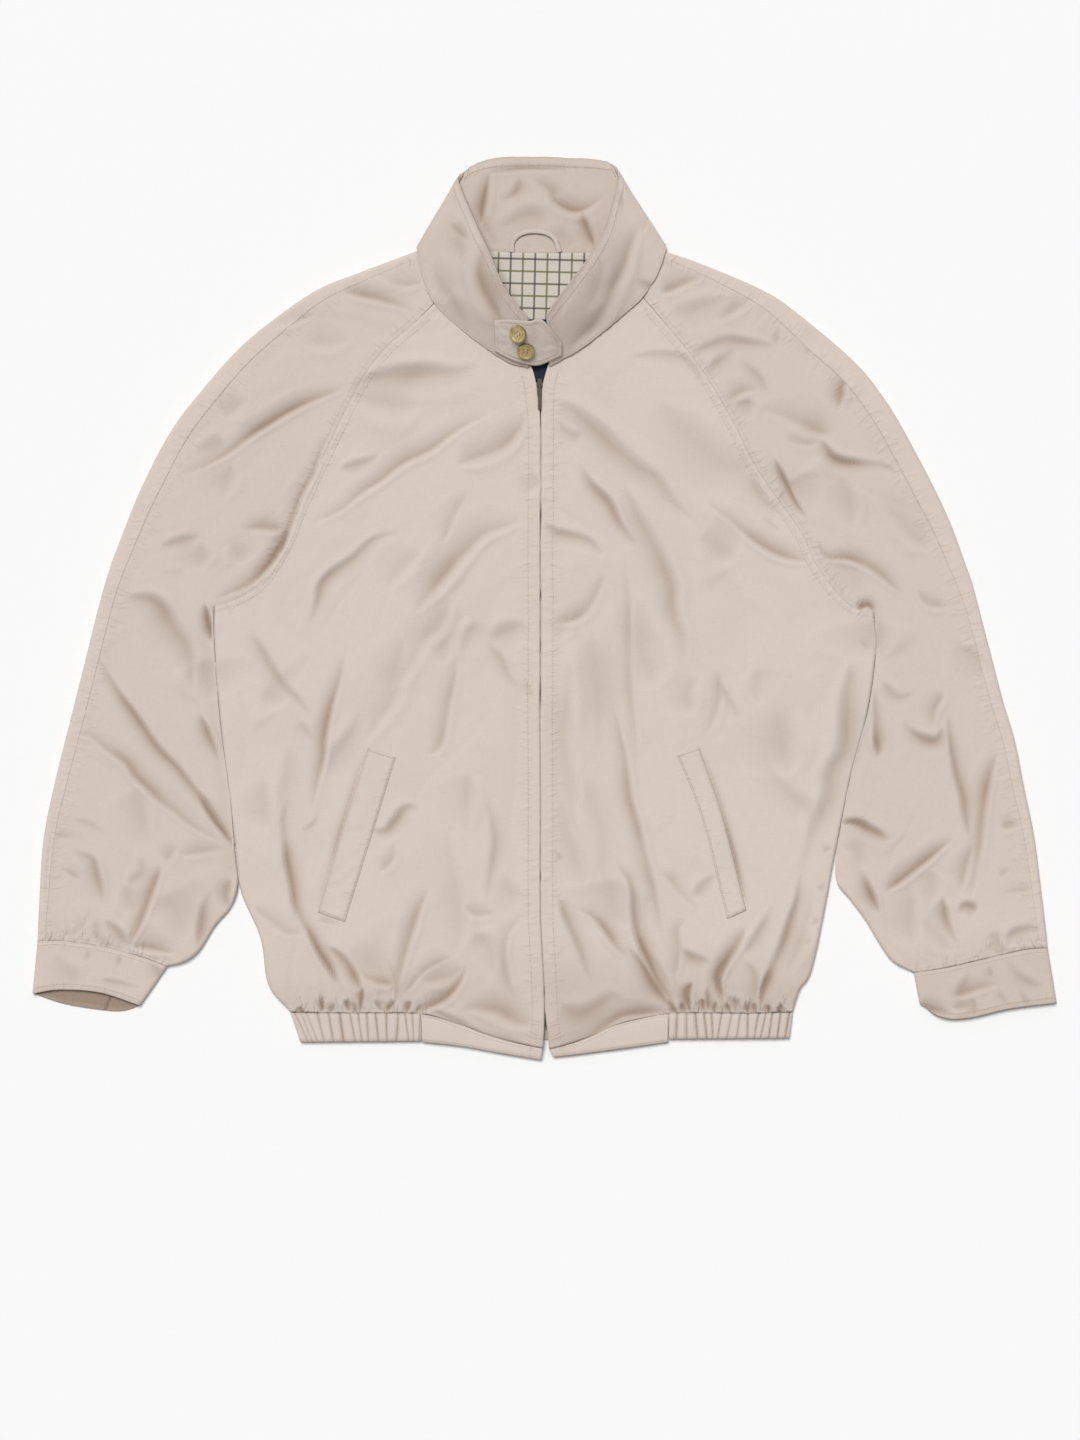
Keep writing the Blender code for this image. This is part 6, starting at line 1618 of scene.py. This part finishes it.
def hornMaterial():
    made, tree, shader = newMaterial("buttonHorn", {"Roughness": 0.34, "Coat Weight": 0.35,
                                                    "Coat Roughness": 0.2})
    place = objectPlace(tree)
    streak = stretched(tree, place, (420, 150, 300))
    cloud = addNode(tree, "TexNoise", {"Vector": streak, "Scale": 1.0, "Detail": 3.0, "Distortion": 1.2})
    ramp = addNode(tree, "ValToRGB", {"Fac": cloud.outputs["Fac"]})
    ramp.color_ramp.elements[0].position, ramp.color_ramp.elements[1].position = 0.32, 0.72
    ramp.color_ramp.elements[0].color = (0.34, 0.25, 0.085, 1)
    ramp.color_ramp.elements[1].color = (0.62, 0.51, 0.24, 1)
    # the rim of the disc is coloured a dark brown
    rim = mixed(tree, attribute(tree, "darkRim"), ramp.outputs["Color"], (0.10, 0.062, 0.025, 1))
    dress(tree, shader, rim, scaledNoise(tree, place, 1500.0, 2.0), 0.00003)
    return made


horn = hornMaterial()
radius, deep = buttonForm["across"] / 2 * mm, buttonForm["deep"] * mm
pick()
bpy.ops.mesh.primitive_cylinder_add(vertices=56, radius=radius, depth=deep, location=(0, 0, deep / 2))
disc = bpy.context.object
disc.name = "hornDisc"
bpy.ops.object.transform_apply(location=True)
for face in disc.data.polygons:
    face.select = face.normal.z > 0.9
bpy.ops.object.mode_set(mode="EDIT")
bpy.ops.mesh.select_mode(type="FACE")
bpy.ops.mesh.inset(thickness=0.5 * mm)
bpy.ops.mesh.inset(thickness=(buttonForm["rim"] - 0.5) * mm)
bpy.ops.mesh.inset(thickness=0.5 * mm)
bpy.ops.transform.translate(value=(0, 0, -buttonForm["dish"] * mm))
bpy.ops.mesh.inset(thickness=2.4 * mm)
bpy.ops.transform.translate(value=(0, 0, -0.2 * mm))
bpy.ops.object.mode_set(mode="OBJECT")
for side in (-1, 1):
    for row in (-1, 1):
        spot = (side * buttonForm["apart"] / 2 * mm, row * buttonForm["apart"] / 2 * mm, 0)
        bpy.ops.mesh.primitive_cylinder_add(vertices=16, radius=buttonForm["hole"] * mm, depth=4 * deep,
                                            location=spot)
        drill = bpy.context.object
        pick(disc)
        cut = disc.modifiers.new("hole", "BOOLEAN")
        cut.operation = "DIFFERENCE"
        cut.object = drill
        bpy.ops.object.modifier_apply(modifier=cut.name)
        bpy.data.objects.remove(drill, do_unlink=True)
pick(disc)
rounded = disc.modifiers.new("rounded", "BEVEL")
rounded.width = 0.28 * mm
rounded.segments = 2
rounded.limit_method = "ANGLE"
rounded.angle_limit = math.radians(35)
bpy.ops.object.modifier_apply(modifier=rounded.name)
bpy.ops.object.shade_smooth_by_angle(angle=math.radians(40))
disc.data.materials.append(horn)
spots = np.array([vertex.co for vertex in disc.data.vertices])
# how much darker the rim is coloured, out from 93 % of the radius
darkRim = np.clip((np.hypot(spots[:, 0], spots[:, 1]) / radius - 0.93) * 14, 0, 1) * 0.75
disc.data.attributes.new("darkRim", "FLOAT", "POINT").data.foreach_set("value", darkRim.astype(np.float32))
tabTop = surfaceOf(tabPiece)
strandForm, shankForm = buttonForm["strand"], buttonForm["shank"]
for name, x, y, tilt, lean in buttonForm["places"]:
    made = addObject("hornButton" + name.split("_")[1].capitalize(), disc.data.copy())
    x, y = onSheet((x, y))
    hits = [cast(tabTop, x + dx * mm, y + dy * mm) for dx, dy in ((0, 0), (-6, 0), (6, 0), (0, -5), (0, 5))]
    up = (hits[2] - hits[1]).cross(hits[4] - hits[3]).normalized() if all(hits) else Vector((0, 0, 1))
    up = (up + Vector((lean, tilt, 0))).normalized()
    lift = max((hit - hits[0]).dot(up) for hit in hits if hit is not None) + 0.5 * mm
    place = Matrix.Translation(hits[0] + up * lift) @ up.to_track_quat("Z", "Y").to_matrix().to_4x4()
    made.data.transform(place)
    sewn = []
    for row in (-1, 1):
        pick()
        spot = (0, row * buttonForm["apart"] / 2 * mm, strandForm["up"] * mm)
        bpy.ops.mesh.primitive_cylinder_add(vertices=8, radius=strandForm["radius"] * mm, location=spot,
                                            depth=strandForm["long"] * mm, rotation=(0, math.pi / 2, 0))
        strand = bpy.context.object
        bpy.ops.object.transform_apply(location=True, rotation=True)
        sewn.append(strand)
    bpy.ops.mesh.primitive_cylinder_add(vertices=12, radius=shankForm["radius"] * mm,
                                        depth=shankForm["long"] * mm, location=(0, 0, -0.2 * mm))
    shank = bpy.context.object
    bpy.ops.object.transform_apply(location=True)
    pick(*sewn, shank)
    bpy.ops.object.join()
    shank.name = shank.data.name = "buttonThread" + name.split("_")[1].capitalize()
    shank.data.transform(place)
    shank.data.materials.append(threadLook)
    bpy.ops.object.shade_smooth_by_angle(angle=math.radians(50))
    for piece in (made, shank):
        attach(piece, "jacket")
    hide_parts(name)
bpy.data.objects.remove(disc, do_unlink=True)
print("buttons made")

# Floor, camera and light.
pick()
bpy.ops.mesh.primitive_plane_add(size=12, location=(0, 0, -0.0006))
floor = bpy.context.object
floor.name = "floor"
floor.data.transform(Matrix.Translation(floor.location))
floor.location = (0, 0, 0)
floor.data.materials.append(newMaterial("paper", {"Base Color": (0.93, 0.93, 0.93, 1), "Roughness": 0.9})[0])
floor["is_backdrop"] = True

view = {"middle": (540, 720), "height": 5.0, "tall": 1440, "sensor": 36, "level": 0.007}
cameraData = bpy.data.cameras.new("camera")
cameraData.sensor_fit = "AUTO"
cameraData.sensor_width = view["sensor"]
cameraData.lens = view["sensor"] * (view["height"] - view["level"]) / (view["tall"] * step)
camera = addObject("camera", cameraData)
camera.location = (*onSheet(view["middle"]), view["height"])
bpy.context.scene.camera = camera

light = {"from": (-0.16, 0.36, 1.0), "strength": 2.44, "softness": 26, "sky": 0.30}
sunData = bpy.data.lights.new("windowLight", "SUN")
sunData.energy = light["strength"]
sunData.angle = math.radians(light["softness"])
sun = addObject("windowLight", sunData)
sun.location = light["from"]
sun.rotation_euler = Vector(light["from"]).to_track_quat("Z", "Y").to_euler()
world = bpy.context.scene.world or bpy.data.worlds.new("world")
bpy.context.scene.world = world
world.use_nodes = True
sky = world.node_tree.nodes["Background"].inputs
sky["Color"].default_value = (1, 1, 1, 1)
sky["Strength"].default_value = light["sky"]
bpy.context.scene.view_settings.view_transform = "Standard"
print("stage made")

low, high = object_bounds()
